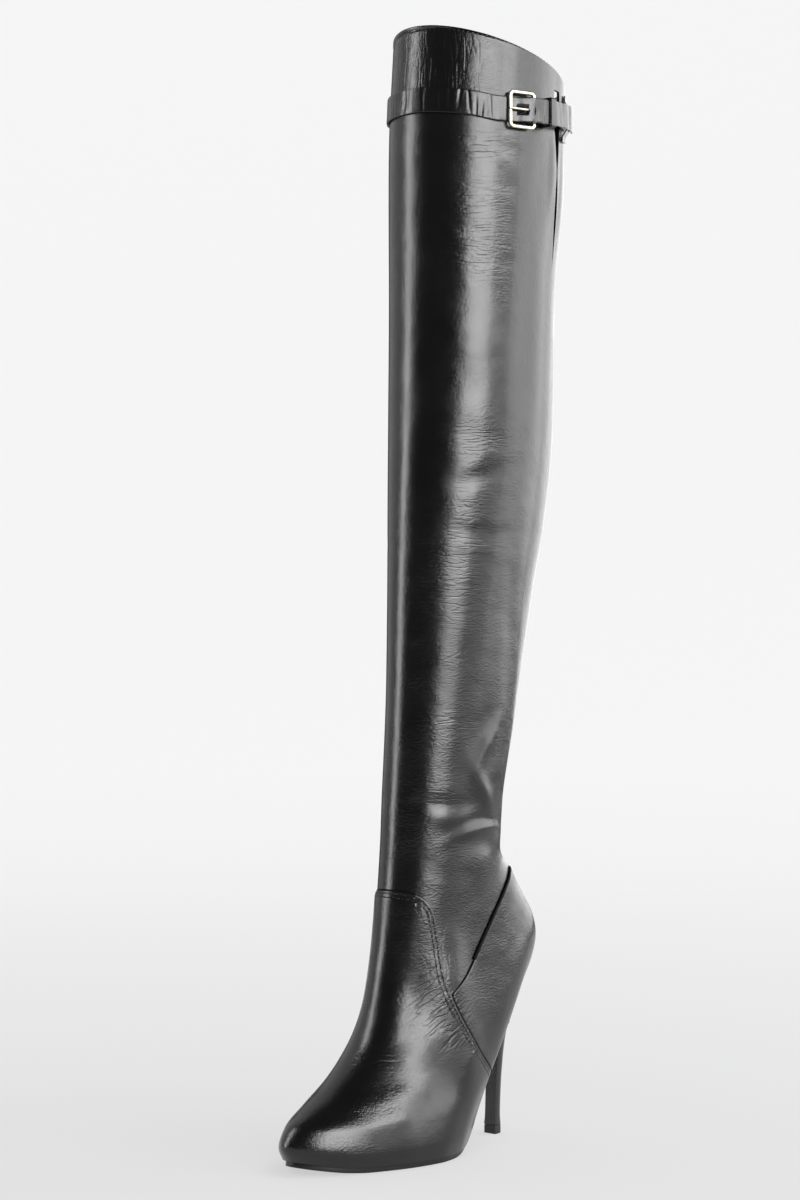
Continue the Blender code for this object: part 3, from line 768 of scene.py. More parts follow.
def contour(work, layer, value):
    """The scored line at one value, as points in order from one end to the other."""
    line = [edge for edge in work.edges if all(abs(vert[layer] - value) < SAME for vert in edge.verts)]
    near = {}
    for edge in line:
        for vert in edge.verts:
            near.setdefault(vert, []).append(edge.other_vert(vert))
    ends = [vert for vert, others in near.items() if len(others) == 1]
    best = []
    for start in ends or list(near)[:1]:
        path, before, here = [start], None, start
        while True:
            onward = [vert for vert in near[here] if vert is not before and vert not in path[-3:]]
            if not onward or onward[0] is start:
                break
            before, here = here, onward[0]
            path.append(here)
        if len(path) > len(best):
            best = path
    return [(vert.co.copy(), vert.normal.copy()) for vert in best]


def overlay(name, field, settings, lines=()):
    """A panel over the upper's face, cut along its seams, with a round edge, and its lines to sew."""
    levels = even_levels(settings.leather_step, PANEL_LOOPS)
    work, across, up = grid(settings.columns, len(levels) - 1)
    level = levels[np.rint(up * (len(levels) - 1)).astype(int)]
    angle = across * 2 * math.pi
    face = surface(level, angle)
    out = outward(level, angle)
    put(work, face + out * (relief(face) + PANEL_LIFT)[:, None])
    work.verts.ensure_lookup_table()
    layer = work.verts.layers.float.new("from_edge")
    for vert, value in zip(work.verts, field(face, out)):
        vert[layer] = value
    bmesh.ops.remove_doubles(work, verts=work.verts, dist=MERGE)
    stops = [0.0, 0.25 * EDGE_ROUND, 0.6 * EDGE_ROUND, EDGE_ROUND]
    grooves = [value + side * SEWN_GROOVE_HALF for value in lines for side in (-1, 1)]
    for value in stops + list(lines) + grooves:
        score(work, layer, value)
    outside = [face for face in work.faces if min(vert[layer] for vert in face.verts) < -SAME]
    bmesh.ops.delete(work, geom=outside, context="FACES")
    work.normal_update()
    found = [contour(work, layer, value) for value in (0.0, *lines)]
    for vert in work.verts:
        if any(abs(vert[layer] - value) < SAME for value in lines):
            vert.co -= vert.normal * SEWN_GROOVE
    group = work.verts.layers.deform.new()
    for vert in work.verts:
        share = min(1.0, max(0.0, vert[layer] / EDGE_ROUND))
        vert[group][0] = mix(EDGE_SHARE, 1.0, math.sqrt(1 - (1 - share) ** 2))
    mesh = to_mesh(work, name, merge=0)
    part = add_object(name, mesh)
    part.vertex_groups.new(name="edge")
    shell = part.modifiers.new("Thickness", "SOLIDIFY")
    shell.thickness = OVERLAY
    shell.offset = 1
    shell.vertex_group = "edge"
    apply_modifiers(part)
    return part, found


def join(name, parts):
    """One object made of the meshes of several, which are removed."""
    work = bmesh.new()
    for part in parts:
        work.from_mesh(part.data)
        bpy.data.objects.remove(part, do_unlink=True)
    return add_object(name, to_mesh(work, name, merge=0))


# Stitches

def along(path, spacing):
    """Places evenly spaced along a line: point, normal and direction."""
    spots = np.array([point for point, _ in path])
    normals = np.array([normal for _, normal in path])
    run = run_along(spots)
    count = max(2, int(run[-1] / spacing))
    at = np.linspace(0, run[-1], count)
    spot = np.stack([np.interp(at, run, spots[:, axis]) for axis in range(3)], axis=1)
    out = unit(np.stack([np.interp(at, run, normals[:, axis]) for axis in range(3)], axis=1))
    way = unit(np.gradient(spot, axis=0))
    return spot, out, way


def stitches(name, paths, spacing, length, thick, lift):
    """Rows of stitches, each a small rounded bar sunk a little in the leather."""
    work = bmesh.new()
    for path in paths:
        for spot, out, way in zip(*along(path, spacing)):
            side = np.cross(out, way)
            placed = Matrix((way, side, out)).transposed().to_4x4()
            placed.translation = Vector(spot + out * lift)
            size = Matrix.Diagonal((length / 2, thick / 2, thick / 2, 1))
            bmesh.ops.create_uvsphere(work, u_segments=6, v_segments=4, radius=1, matrix=placed @ size)
    return add_object(name, to_mesh(work, name, crease=80, merge=0))


def band(name, path, width, thickness, lift):
    """A narrow strip that lies along a line on the leather."""
    spot, out, way = along(path, BAND_STEP)
    return strip(name, spot + out * lift, np.cross(out, way) * width / 2, thickness, roundness=0.7)


def raw_edge(name, edge, seam, width):
    """The raw leather that shows along a panel's edge where it follows a seam."""
    spots = np.array([point for point, _ in edge])
    facing = np.array([normal for _, normal in edge])
    near = np.abs(seam_distance(spots, facing, seam)) < SEAM_NEAR
    path = [pair for pair, kept in zip(edge, near) if kept]
    return band(name, path, width, RAW_EDGE_THICK, RAW_EDGE_LIFT)


# Sole, insole and heel

SOLE_COLUMNS = 16
SOLE_CREASE = 60
SOLE_EDGE_STEP = 0.002
SOFT_EDGE = 0.8 * MM
FOOTBED_GAP = 1.2 * MM


def sole_sheet(name, inset, lift, thickness, offset, settings):
    """A sheet along the sole line inside the upper's lower edge, given a thickness and soft edges."""
    work, across, up = grid(SOLE_COLUMNS, settings.sole_rows)
    turn = up * math.pi

    def moved(angle):
        here = surface(0, angle)
        edge = surface(0, angle + SOLE_EDGE_STEP) - surface(0, angle - SOLE_EDGE_STEP)
        away = unit(np.stack([edge[:, 1], -edge[:, 0], np.zeros(len(edge))], axis=1))
        return here - away * inset

    points = mix(moved(-turn), moved(turn), across[:, None])
    points[:, 2] = sole_line(points[:, 1]) + lift
    put(work, points)
    part = add_object(name, to_mesh(work, name))
    shell = part.modifiers.new("Thickness", "SOLIDIFY")
    shell.thickness = thickness
    shell.offset = offset
    shell.use_even_offset = True
    soft = part.modifiers.new("Soft edge", "BEVEL")
    soft.width = min(SOFT_EDGE, thickness * 0.3)
    soft.segments = 3
    soft.angle_limit = math.radians(50)
    apply_modifiers(part)
    smooth(part.data, SOLE_CREASE)
    return part


HEEL_ROWS = 60
HEEL_COLUMNS = 56
HEEL_FLAT = 0.25
HEEL_BACK_ROUND = 0.9
HEEL_SIDE_ROUND = 0.8
TIP_EDGE = 0.35 * MM


def heel_points(up, turn):
    """Points of the heel: a section flat to the front and round at the back, that grows into the seat."""
    front, back, half, follow = (curve(HEEL_LOOPS, column, up) for column in (1, 2, 3, 4))
    front_y, back_y = foot_y(front), foot_y(back)
    flat = turn < HEEL_FLAT
    angle = np.where(flat, 0, (turn - HEEL_FLAT) / (1 - HEEL_FLAT) * math.pi - math.pi / 2)
    across = np.where(flat, 1 - turn / HEEL_FLAT * 2, np.sin(angle))
    y = np.where(flat, front_y, mix(front_y, back_y, np.maximum(np.cos(angle), 0) ** HEEL_BACK_ROUND))
    x = np.where(flat, across, np.copysign(np.abs(across) ** HEEL_SIDE_ROUND, across)) * half * HEEL_WIDTH
    slope = (sole_line(y + MM) - sole_line(y - MM)) / (2 * MM)
    under = sole_line(y) - GAP - (SOLE + GAP) * np.sqrt(1 + slope * slope)
    stem = mix(TIP_HEIGHT + GAP, HEEL_HEIGHT - SOLE - 2 * GAP, up)
    return np.stack([x, y, mix(stem, under, follow)], axis=1)


def close_ends(work):
    bmesh.ops.remove_doubles(work, verts=work.verts, dist=MERGE)
    rim = [edge for edge in work.edges if edge.is_boundary]
    bmesh.ops.holes_fill(work, edges=rim, sides=0)
    bmesh.ops.recalc_face_normals(work, faces=work.faces)


def soften(work, width, segments, least=50):
    """Rounds the edges where faces meet at more than a given angle."""
    least = math.radians(least)
    sharp = [edge for edge in work.edges if edge.is_manifold and edge.calc_face_angle(0) > least]
    bmesh.ops.bevel(
        work,
        geom=sharp,
        offset=width,
        offset_type="OFFSET",
        segments=segments,
        profile=0.5,
        affect="EDGES",
        material=-1,
        clamp_overlap=True,
    )


def make_heel(finish):
    work, across, up = grid(HEEL_COLUMNS, HEEL_ROWS)
    put(work, heel_points(up, across))
    close_ends(work)
    heel = add_object("heel_cover", to_mesh(work, "heel_cover", crease=45))
    return finish_piece(heel, finish, "heel_cover", "heel")


def make_heel_tip(finish):
    work, across, up = grid(HEEL_COLUMNS, 1)
    points = heel_points(np.zeros(len(up)), across)
    points[:, 2] = up * TIP_HEIGHT
    put(work, points)
    close_ends(work)
    soften(work, TIP_EDGE, 3)
    tip = add_object("heel_top_lift", to_mesh(work, "heel_top_lift", crease=40))
    return finish_piece(tip, finish, "heel_tip", "heel_tip")


# Straps

def strip(name, middles, rises, thickness, closed=False, roundness=0.25, sides=28, swell=None):
    """A strap with round edges along a line of middles; rises run from its middle to its upper edge."""
    middles, rises = np.asarray(middles, float), np.asarray(rises, float)
    count = len(middles)
    if closed:
        ways = np.roll(middles, -1, axis=0) - np.roll(middles, 1, axis=0)
    else:
        ways = np.gradient(middles, axis=0)
    leans = unit(np.cross(ways, rises)) * thickness / 2
    work, across, up = grid(sides, count if closed else count - 1)
    row = np.rint(up * (count if closed else count - 1)).astype(int) % count
    turn = across * 2 * math.pi
    tall = np.copysign(np.abs(np.cos(turn)) ** roundness, np.cos(turn))
    deep = np.copysign(np.abs(np.sin(turn)) ** roundness, np.sin(turn))
    deep = np.where(np.abs(np.sin(turn)) < SAME, 0, deep)
    tall = np.where(np.abs(np.cos(turn)) < SAME, 0, tall)
    points = middles[row] + rises[row] * tall[:, None] + leans[row] * deep[:, None]
    if swell is not None:
        points = points + unit(leans[row]) * (swell(row, tall) * (deep > 0.5))[:, None]
    put(work, points)
    if closed:
        bmesh.ops.remove_doubles(work, verts=work.verts, dist=MERGE)
    else:
        close_ends(work)
    return add_object(name, to_mesh(work, name, crease=50))


def on_shaft(angles, offs, drops, width):
    """Middles of a strap that lies off the shaft, and half its width along the shaft's slope."""
    heights = STRAP_HEIGHT - drops
    low = shaft_points(angles, heights - width / 2, offs)[0]
    high = shaft_points(angles, heights + width / 2, offs)[0]
    return (low + high) / 2, (high - low) / 2


def strap_drop(angle):
    return curve(STRAP_PATH, 2, angle) * STRAP_DROP


def buckle_place():
    """Where the buckle sits: a point on the shaft, outward, and along the shaft towards its back."""
    point, facing = shaft_point(BUCKLE_ANGLE, STRAP_HEIGHT - strap_drop(BUCKLE_ANGLE))
    return point, facing, Vector((-facing.y, facing.x, 0))


BAR_REACH = (BUCKLE_WIDTH - BAR) / 2
FRAME_LIFT = STRAP + 3 * GAP + BAR / 2 - BAR_REACH**2 / (2 * CALF_RADIUS)
FOLD = BAR / 2 + GAP + CHAPE / 2


def rear_bar():
    """Middle of the buckle's rear bar, its angle round the shaft and its distance off it."""
    point, facing, way = buckle_place()
    bar = point + facing * FRAME_LIFT + way * BAR_REACH
    low, high = BUCKLE_ANGLE, BUCKLE_ANGLE + 30
    for _ in range(HALVINGS):
        angle = (low + high) / 2
        spot, out = shaft_point(angle, bar.z)
        if (bar - spot).dot(Vector((-out.y, out.x, 0))) > 0:
            low = angle
        else:
            high = angle
    return bar, low, (bar - spot).length


BAR_MIDDLE, BAR_ANGLE, BAR_LIFT = rear_bar()
TAIL_LIFT = BAR_LIFT + FOLD + CHAPE / 2 + GAP
STRAP_STEP = 0.7 * MM
TAIL_CORNER = 3.5 * MM
RIPPLES = 150
STRAP_HOLE = 1.5 * MM
STRAP_HOLE_PLACE = 7.6 * MM
PRONG_SLOT = 7.2 * MM
PRONG_SLOT_PLACE = -0.4 * MM
CUT_DEPTH = 12 * MM
CALM_TAIL = 22 * MM
CHAPE_STEPS = 64
CHAPE_TURNS = 14
CHAPE_END = 2.5 * MM
PRONG_ROOM = (4.4 * MM, PRONG + 4 * GAP, 4.2 * MM)
PRONG_ROOM_PLACE = -2.2 * MM
BUCKLE_CORNER = 2.6 * MM
KEEPER_CORNER = 1.0 * MM
PRONG_CURL = 0.15 * MM
PRONG_PAST = 1.3 * MM
PRONG_DIP = 0.9 * MM
PRONG_BOW = 0.16
PRONG_TURNS = np.linspace(-150, 90, 13)
PRONG_SHARES = np.linspace(0.06, 1, 18)
LOOP_ROWS = 49
LOOP_TURN = 3
LOOP_RAISED = CHAPE + 5 * GAP

# Buckle's prong. along: share from its curled end to its tip; thick: share of its thickness.
PRONG_TAPER = [
    # along, thick
    (0.00, 0.70),
    (0.35, 1.00),
    (0.93, 0.86),
    (1.00, 0.40),
]

# Belt loop. along: share of its half length from its middle; lift: share of its height.
LOOP_PATH = [
    # along, lift
    (-1.00, 0.00),
    (-0.80, 0.00),
    (-0.62, 0.50),
    (-0.46, 1.00),
    (0.00, 1.02),
    (0.46, 1.00),
    (0.62, 0.50),
    (0.80, 0.00),
    (1.00, 0.00),
]


def round_tail(middles, rises, corner):
    """Rounds the corners at a strap's last end by narrowing it there."""
    middles, rises = np.array(middles, float), np.array(rises, float)
    run = run_along(middles)
    into = np.clip(run - (run[-1] - corner), 0, corner)
    half = np.linalg.norm(rises, axis=1)
    kept = half - corner + np.sqrt(np.maximum(corner**2 - into**2, (0.08 * corner) ** 2))
    return middles, rises * (kept / half)[:, None], run


def turned_to(way, facing, place):
    """A matrix that lays a shape along the strap, facing outward, at a place."""
    made = Matrix((way, (0, 0, 1), facing)).transposed().to_4x4()
    made.translation = place
    return made


def make_strap(finish):
    first, last = STRAP_PATH[0][0], STRAP_PATH[-1][0]
    angles = np.linspace(first, last, round((last - first) * DEGREE / STRAP_STEP))
    offs = SKIN + STRAP / 2 + curve(STRAP_PATH, 1, angles) * (TAIL_LIFT - SKIN)
    middles, rises = on_shaft(angles, offs, strap_drop(angles), STRAP_WIDTH)
    middles, rises, run = round_tail(middles, rises, TAIL_CORNER)
    dice = np.random.default_rng(5)
    place = dice.uniform(0, run[-1], RIPPLES)
    lean = dice.uniform(-1.2, 1.2, RIPPLES) * MM
    wide = dice.uniform(0.7, 1.7, RIPPLES) * MM
    deep = dice.uniform(-0.62, 0.2, RIPPLES) * MM
    reach = dice.uniform(0.3, 1.6, RIPPLES)
    centre = dice.uniform(-0.9, 0.9, RIPPLES)

    def ripple(row, tall):
        total = np.zeros(len(row))
        for spot, slant, width, depth, tallness, middle in zip(place, lean, wide, deep, reach, centre):
            near = np.exp(-(((run[row] - spot - slant * tall) / width) ** 2))
            total += depth * near * np.exp(-(((tall - middle) / tallness) ** 2))
        calm = np.clip((run[-1] - run[row]) / CALM_TAIL, 0.25, 1)
        return total * calm

    strap = strip("top_strap", middles, rises, STRAP, roundness=0.3, sides=44, swell=ripple)
    point, facing, way = buckle_place()
    work = bmesh.new()
    middle = point + facing * FRAME_LIFT
    slot = turned_to(way, facing, middle + way * PRONG_SLOT_PLACE)
    size = Matrix.Diagonal((PRONG_SLOT, PRONG + 2 * GAP, CUT_DEPTH, 1))
    bmesh.ops.create_cube(work, size=1, matrix=slot @ size)
    bmesh.ops.create_cone(
        work,
        segments=20,
        radius1=STRAP_HOLE / 2,
        radius2=STRAP_HOLE / 2,
        depth=CUT_DEPTH,
        cap_ends=True,
        matrix=turned_to(way, facing, middle + way * STRAP_HOLE_PLACE),
    )
    boolean(strap, add_object("prong_slot", to_mesh(work, "prong_slot")))
    return finish_piece(strap, finish, "strap_leather", "strap")


def make_chape(finish):
    flat = SKIN + CHAPE / 2
    behind = np.linspace(CHAPE_PATH[-1][0], 0, CHAPE_STEPS)
    under_bar = curve(CHAPE_PATH, 1, behind) * (BAR_LIFT - FOLD - flat)
    in_keeper = curve(CHAPE_PATH, 2, behind) * (KEEPER + GAP)
    angles = BAR_ANGLE + behind
    middles, rises = on_shaft(angles, flat + under_bar + in_keeper, strap_drop(angles), CHAPE_WIDTH)
    middles, rises = list(middles), list(rises)
    facing = shaft_point(BAR_ANGLE, BAR_MIDDLE.z)[1]
    way = Vector((-facing.y, facing.x, 0))
    rise = Vector((0, 0, CHAPE_WIDTH / 2))
    for turn in range(1, CHAPE_TURNS + 1):
        angle = math.pi * turn / CHAPE_TURNS
        middles.append(BAR_MIDDLE - (way * math.sin(angle) + facing * math.cos(angle)) * FOLD)
        rises.append(rise)
    middles.append(BAR_MIDDLE + facing * FOLD + way * CHAPE_END)
    rises.append(rise)
    chape = strip("buckle_strap", middles, rises, CHAPE)
    work = bmesh.new()
    slot = turned_to(way, facing, BAR_MIDDLE + way * PRONG_ROOM_PLACE)
    bmesh.ops.create_cube(work, size=1, matrix=slot @ Matrix.Diagonal((*PRONG_ROOM, 1)))
    boolean(chape, add_object("prong_room", to_mesh(work, "prong_room")))
    return finish_piece(chape, finish, "strap_leather", "buckle_chape")


def rounded_box(wide, tall, corner, steps):
    """A rectangle with round corners as pairs, in order."""
    points = []
    for quarter, (side, rise) in enumerate(((1, 1), (-1, 1), (-1, -1), (1, -1))):
        for step in range(steps + 1):
            angle = math.pi / 2 * (quarter + step / steps)
            points.append((
                side * (wide / 2 - corner) + corner * math.cos(angle),
                rise * (tall / 2 - corner) + corner * math.sin(angle),
            ))
    return points


def make_buckle(finish):
    point, facing, way = buckle_place()
    middle = point + facing * FRAME_LIFT
    line = rounded_box(2 * BAR_REACH, BUCKLE_HEIGHT - BAR, BUCKLE_CORNER, 8)
    middles = [middle + way * across + Vector((0, 0, up)) for across, up in line]
    rises = [facing * BAR * 0.46] * len(middles)
    buckle = strip("buckle_ring", middles, rises, BAR, closed=True, roundness=0.62, sides=20)
    finish_piece(buckle, finish, "buckle_metal", "buckle_frame")
    path = []
    for turn in PRONG_TURNS:
        angle = math.radians(turn)
        reach = BAR / 2 + PRONG / 2 + PRONG_CURL
        across = BAR_REACH + math.cos(angle) * reach
        path.append(middle + way * across + facing * math.sin(angle) * reach)
    tip_lift = BAR / 2 + PRONG / 2 + GAP
    for share in PRONG_SHARES:
        across = mix(BAR_REACH, -BAR_REACH - PRONG_PAST, share)
        dip = PRONG_DIP * max(0, share - 0.9) / 0.1
        rise = tip_lift * (1 - PRONG_BOW * math.sin(math.pi * share)) - dip
        path.append(middle + way * across + facing * rise)
    sizes = np.interp(np.linspace(0, 1, len(path)), *zip(*PRONG_TAPER))
    rises = [Vector((0, 0, PRONG / 2 * size)) for size in sizes]
    prong = strip("buckle_tongue", path, rises, PRONG * 0.8, roundness=0.75, sides=16)
    finish_piece(prong, finish, "buckle_metal", "buckle_prong")


def make_keeper(finish):
    height = STRAP_HEIGHT - strap_drop(KEEPER_ANGLE)
    point, facing = shaft_point(KEEPER_ANGLE, height)
    way = Vector((-facing.y, facing.x, 0))
    tail = float(curve(STRAP_PATH, 1, KEEPER_ANGLE)) * TAIL_LIFT + STRAP + 2 * GAP
    inside = tail - KEEPER
    middle = point + facing * (SKIN + KEEPER + inside / 2)
    line = rounded_box(inside + KEEPER, STRAP_WIDTH + 4 * GAP + KEEPER, KEEPER_CORNER, 5)
    middles = [middle + facing * out + Vector((0, 0, up)) for out, up in line]
    keeper = strip("strap_loop", middles, [way * KEEPER_WIDTH / 2] * len(middles), KEEPER, closed=True)
    return finish_piece(keeper, finish, "strap_leather", "strap_keeper")


def make_shaft_loop(finish):
    height = STRAP_HEIGHT - strap_drop(LOOP_ANGLE)
    share = np.linspace(-1, 1, LOOP_ROWS)
    lift = SKIN + LOOP / 2 + LOOP_RAISED * curve(LOOP_PATH, 1, share)
    heights = height + share * LOOP_HEIGHT / 2
    here = LOOP_ANGLE + LOOP_TURN * share
    half = LOOP_WIDTH / 2 / DEGREE
    fore = shaft_points(here - half, heights, lift)[0]
    aft = shaft_points(here + half, heights, lift)[0]
    loop = strip("belt_loop", (fore + aft) / 2, (fore - aft) / 2, LOOP)
    return finish_piece(loop, finish, "upper_leather", "shaft_loop")


# Finishes

def feed(tree, shader, name, value):
    """Gives one input a link or a value."""
    if isinstance(value, bpy.types.NodeSocket):
        tree.links.new(value, shader.inputs[name])
    else:
        shader.inputs[name].default_value = value


def node(tree, kind, links=None, **values):
    """Adds a node, sets its own values, and gives each named input a value or a link."""
    made = tree.nodes.new(kind)
    for name, value in values.items():
        setattr(made, name, value)
    for name, value in (links or {}).items():
        feed(tree, made, name, value)
    return made


def noise(tree, place, scale, detail, rough):
    links = {"Vector": place, "Scale": scale, "Detail": detail, "Roughness": rough}
    return node(tree, "ShaderNodeTexNoise", links).outputs["Fac"]


def reckon(tree, operation, *values):
    return node(tree, "ShaderNodeMath", dict(enumerate(values)), operation=operation).outputs[0]


def stretch_place(tree, place, stretch):
    return node(tree, "ShaderNodeVectorMath", {0: place, 1: stretch}, operation="MULTIPLY").outputs[0]


def spread(tree, value, start, end, low, high, **values):
    """Turns a value between start and end into one between low and high."""
    links = {"Value": value, "From Min": start, "From Max": end, "To Min": low, "To Max": high}
    return node(tree, "ShaderNodeMapRange", links, **values).outputs["Result"]


def new_group(name, inputs, outputs):
    tree = bpy.data.node_groups.new(name, "ShaderNodeTree")
    for label, kind, value in inputs:
        socket = tree.interface.new_socket(label, in_out="INPUT", socket_type=kind)
        if value is not None:
            socket.default_value = value
    for label in outputs:
        tree.interface.new_socket(label, in_out="OUTPUT", socket_type="NodeSocketFloat")
    return tree, tree.nodes.new("NodeGroupInput").outputs, tree.nodes.new("NodeGroupOutput").inputs


def grain_group():
    """Leather grain: small rounded cells with pores, and a slow change of tone."""
    inputs = [
        ("Place", "NodeSocketVector", None),
        ("Cells", "NodeSocketFloat", 900.0),
    ]
    tree, given, out = new_group("Leather grain", inputs, ("Height", "Tone"))
    cells = {"Vector": given["Place"], "Scale": given["Cells"], "Randomness": 1.0}
    distance = node(tree, "ShaderNodeTexVoronoi", cells, feature="F1").outputs["Distance"]
    pores = noise(tree, given["Place"], given["Cells"], 3.0, 0.6)
    tree.links.new(reckon(tree, "MULTIPLY_ADD", distance, -0.7, pores), out["Height"])
    tree.links.new(noise(tree, given["Place"], 38.0, 4.0, 0.55), out["Tone"])
    return tree


def wrinkle_group():
    """Soft wrinkles drawn out along the stretched direction, stronger in some places than in others."""
    inputs = [
        ("Place", "NodeSocketVector", None),
        ("Stretch", "NodeSocketVector", (1.0, 1.0, 2.4)),
        ("Size", "NodeSocketFloat", 330.0),
        ("Calm", "NodeSocketFloat", 0.45),
    ]
    tree, given, out = new_group("Fine wrinkles", inputs, ("Height",))
    drawn = stretch_place(tree, given["Place"], given["Stretch"])
    wrinkles = noise(tree, drawn, given["Size"], 2.0, 0.5)
    share = spread(tree, noise(tree, drawn, 24.0, 1.0, 0.5), 0.38, 0.6, given["Calm"], 1.0)
    tree.links.new(reckon(tree, "MULTIPLY", wrinkles, share), out["Height"])
    return tree


def crease_group():
    """Thin creases: troughs where a drawn-out noise passes its middle, as deep as the amount says."""
    inputs = [
        ("Place", "NodeSocketVector", None),
        ("Stretch", "NodeSocketVector", (0.16, 0.16, 1.0)),
        ("Amount", "NodeSocketFloat", 0.0),
    ]
    tree, given, out = new_group("Thin creases", inputs, ("Height",))
    drawn = stretch_place(tree, given["Place"], given["Stretch"])
    off = reckon(tree, "ABSOLUTE", reckon(tree, "SUBTRACT", noise(tree, drawn, 300.0, 1.0, 0.5), 0.5))
    trough = spread(tree, off, 0.0, 0.09, -1.0, 0.0, interpolation_type="SMOOTHSTEP")
    tree.links.new(reckon(tree, "MULTIPLY", trough, given["Amount"]), out["Height"])
    return tree


def shared_groups():
    """The node groups that the finishes share, each built the first time."""
    made = {"Leather grain": grain_group, "Fine wrinkles": wrinkle_group, "Thin creases": crease_group}
    return {name: bpy.data.node_groups.get(name) or build() for name, build in made.items()}


def place_group(tree, group, links):
    return node(tree, "ShaderNodeGroup", links, node_tree=group).outputs


def bump(tree, height, distance, normal=None):
    links = {"Height": height, "Distance": distance}
    if normal is not None:
        links["Normal"] = normal
    return node(tree, "ShaderNodeBump", links).outputs["Normal"]


def new_finish(name):
    old = bpy.data.materials.get(name)
    if old is not None:
        bpy.data.materials.remove(old)
    made = bpy.data.materials.new(name)
    made.use_nodes = True
    return made, made.node_tree, made.node_tree.nodes["Principled BSDF"]


def settle(tree, shader, values):
    for name, value in values.items():
        feed(tree, shader, name, value)


def roughness(tree, tone, low, high):
    """Roughness between low and high, as a noise's tone varies."""
    return spread(tree, tone, 0.3, 0.7, low, high)


CREASE_REACH = 30 * MM

# How the thin creases of each way are drawn from one noise
CREASE_DRAW = {
    # way: turn, stretch
    "level": ((0, 0, 0), (0.16, 0.16, 1.0)),
    "upright": ((0, 0, 0), (0.7, 0.7, 0.12)),
    "slant": ((math.radians(-37), 0, 0), (0.3, 0.16, 1.0)),
}


def mark_creases(part):
    """Writes how deep the thin creases of each way are at each point of a piece, in millimetres."""
    mesh = part.data
    spots = np.empty(len(mesh.vertices) * 3)
    mesh.vertices.foreach_get("co", spots)
    spots = spots.reshape(-1, 3)
    marks = {way: np.zeros(len(spots)) for way in CREASE_DRAW}
    for way, height, degrees, run, width, depth in CREASES:
        angle = math.radians(degrees)
        level = level_at(angle, height * MM)
        out = outward(level, angle)
        gap = spots - surface(level, angle)
        aside = gap @ unit(np.cross([0, 0, 1], out)) / (run * MM)
        upward = gap[:, 2] / (width * MM)
        under = gap @ out / CREASE_REACH
        marks[way] += depth * np.exp(-((aside**2 + upward**2 + under**2) ** 1.5))
    for way, mark in marks.items():
        layer = mesh.attributes.new(f"{way}_creases", "FLOAT", "POINT")
        layer.data.foreach_set("value", mark)


def creases(tree, group, place):
    """The sum of the thin creases of every way."""
    total = None
    for way, (turn, stretch) in CREASE_DRAW.items():
        turned = node(tree, "ShaderNodeMapping", {"Vector": place, "Rotation": turn}).outputs["Vector"]
        amount = node(tree, "ShaderNodeAttribute", attribute_name=f"{way}_creases").outputs["Fac"]
        links = {"Place": turned, "Stretch": stretch, "Amount": amount}
        height = place_group(tree, group, links)["Height"]
        total = height if total is None else reckon(tree, "ADD", height, total)
    return total


LEATHER_ROUGH = 0.22
LEATHER_CELLS = 1300.0
LEATHER_GRAIN = 0.065 * MM
LEATHER_DRAW = (1.4, 1.4, 2.4)
STRAP_DRAW = (2.4, 2.4, 1.0)


def leather(
    name, groups, settings, waves=0.6, wrinkles=0.2, stretch=LEATHER_DRAW, coat=0.15, creased=False
):
    """Black dressed leather. waves and wrinkles: how deep, in millimetres."""
    made, tree, shader = new_finish(name)
    place = node(tree, "ShaderNodeTexCoord").outputs["Object"]
    normal = bump(tree, noise(tree, place, 55.0, 1.5, 0.45), waves * MM)
    if creased:
        normal = bump(tree, creases(tree, groups["Thin creases"], place), MM, normal)
    fold = place_group(tree, groups["Fine wrinkles"], {"Place": place, "Stretch": stretch})
    normal = bump(tree, fold["Height"], wrinkles * MM, normal)
    cell = place_group(tree, groups["Leather grain"], {"Place": place, "Cells": LEATHER_CELLS})
    settle(tree, shader, {
        "Normal": bump(tree, cell["Height"], LEATHER_GRAIN, normal),
        "Roughness": roughness(tree, cell["Tone"], LEATHER_ROUGH - 0.04, LEATHER_ROUGH + 0.05),
        "Base Color": (*settings.leather_colour, 1),
        "Specular IOR Level": 0.5,
        "Coat Weight": coat,
        "Coat Roughness": 0.16,
    })
    return made


def metal(name, colour, rough):
    made, tree, shader = new_finish(name)
    place = node(tree, "ShaderNodeTexCoord").outputs["Object"]
    wear = noise(tree, place, 600.0, 4.0, 0.6)
    settle(tree, shader, {
        "Roughness": roughness(tree, wear, rough - 0.04, rough + 0.1),
        "Normal": bump(tree, wear, 0.01 * MM),
        "Base Color": (*colour, 1),
        "Metallic": 1,
    })
    return made


def rough_black(name, groups, colour, rough, cells, grain, sheen=0.3):
    """Rubber, raw leather edge, pressed sole or painted shade in stitch grooves: black and matte, with a
    grain in millimetres.
    """
    made, tree, shader = new_finish(name)
    place = node(tree, "ShaderNodeTexCoord").outputs["Object"]
    cell = place_group(tree, groups["Leather grain"], {"Place": place, "Cells": cells})
    settle(tree, shader, {
        "Normal": bump(tree, cell["Height"], grain * MM),
        "Roughness": roughness(tree, cell["Tone"], rough - 0.06, rough + 0.1),
        "Base Color": (*colour, 1),
        "Specular IOR Level": sheen,
    })
    return made


# Stage

STAGE_RADIUS = 3.4
STAGE_CURVE = 1.6
STAGE_TALL = 5.0
STAGE_BEND_STEPS = 12
STAGE_TURN_STEPS = 72
VIEW_ANGLE = math.radians(42)
LAMP_AIM = Vector((0.0, 0.03, 0.38))
CAMERA_DISTANCE = 1.7
CAMERA_HEIGHT = 0.3435
CAMERA_ASIDE = 0.024
FOCAL = 79.05
SHIFT_UP = 29 / 1200
VIEW_RIGHT = Vector((math.cos(VIEW_ANGLE), math.sin(VIEW_ANGLE), 0))
VIEW_FORWARD = Vector((-math.sin(VIEW_ANGLE), math.cos(VIEW_ANGLE), 0))

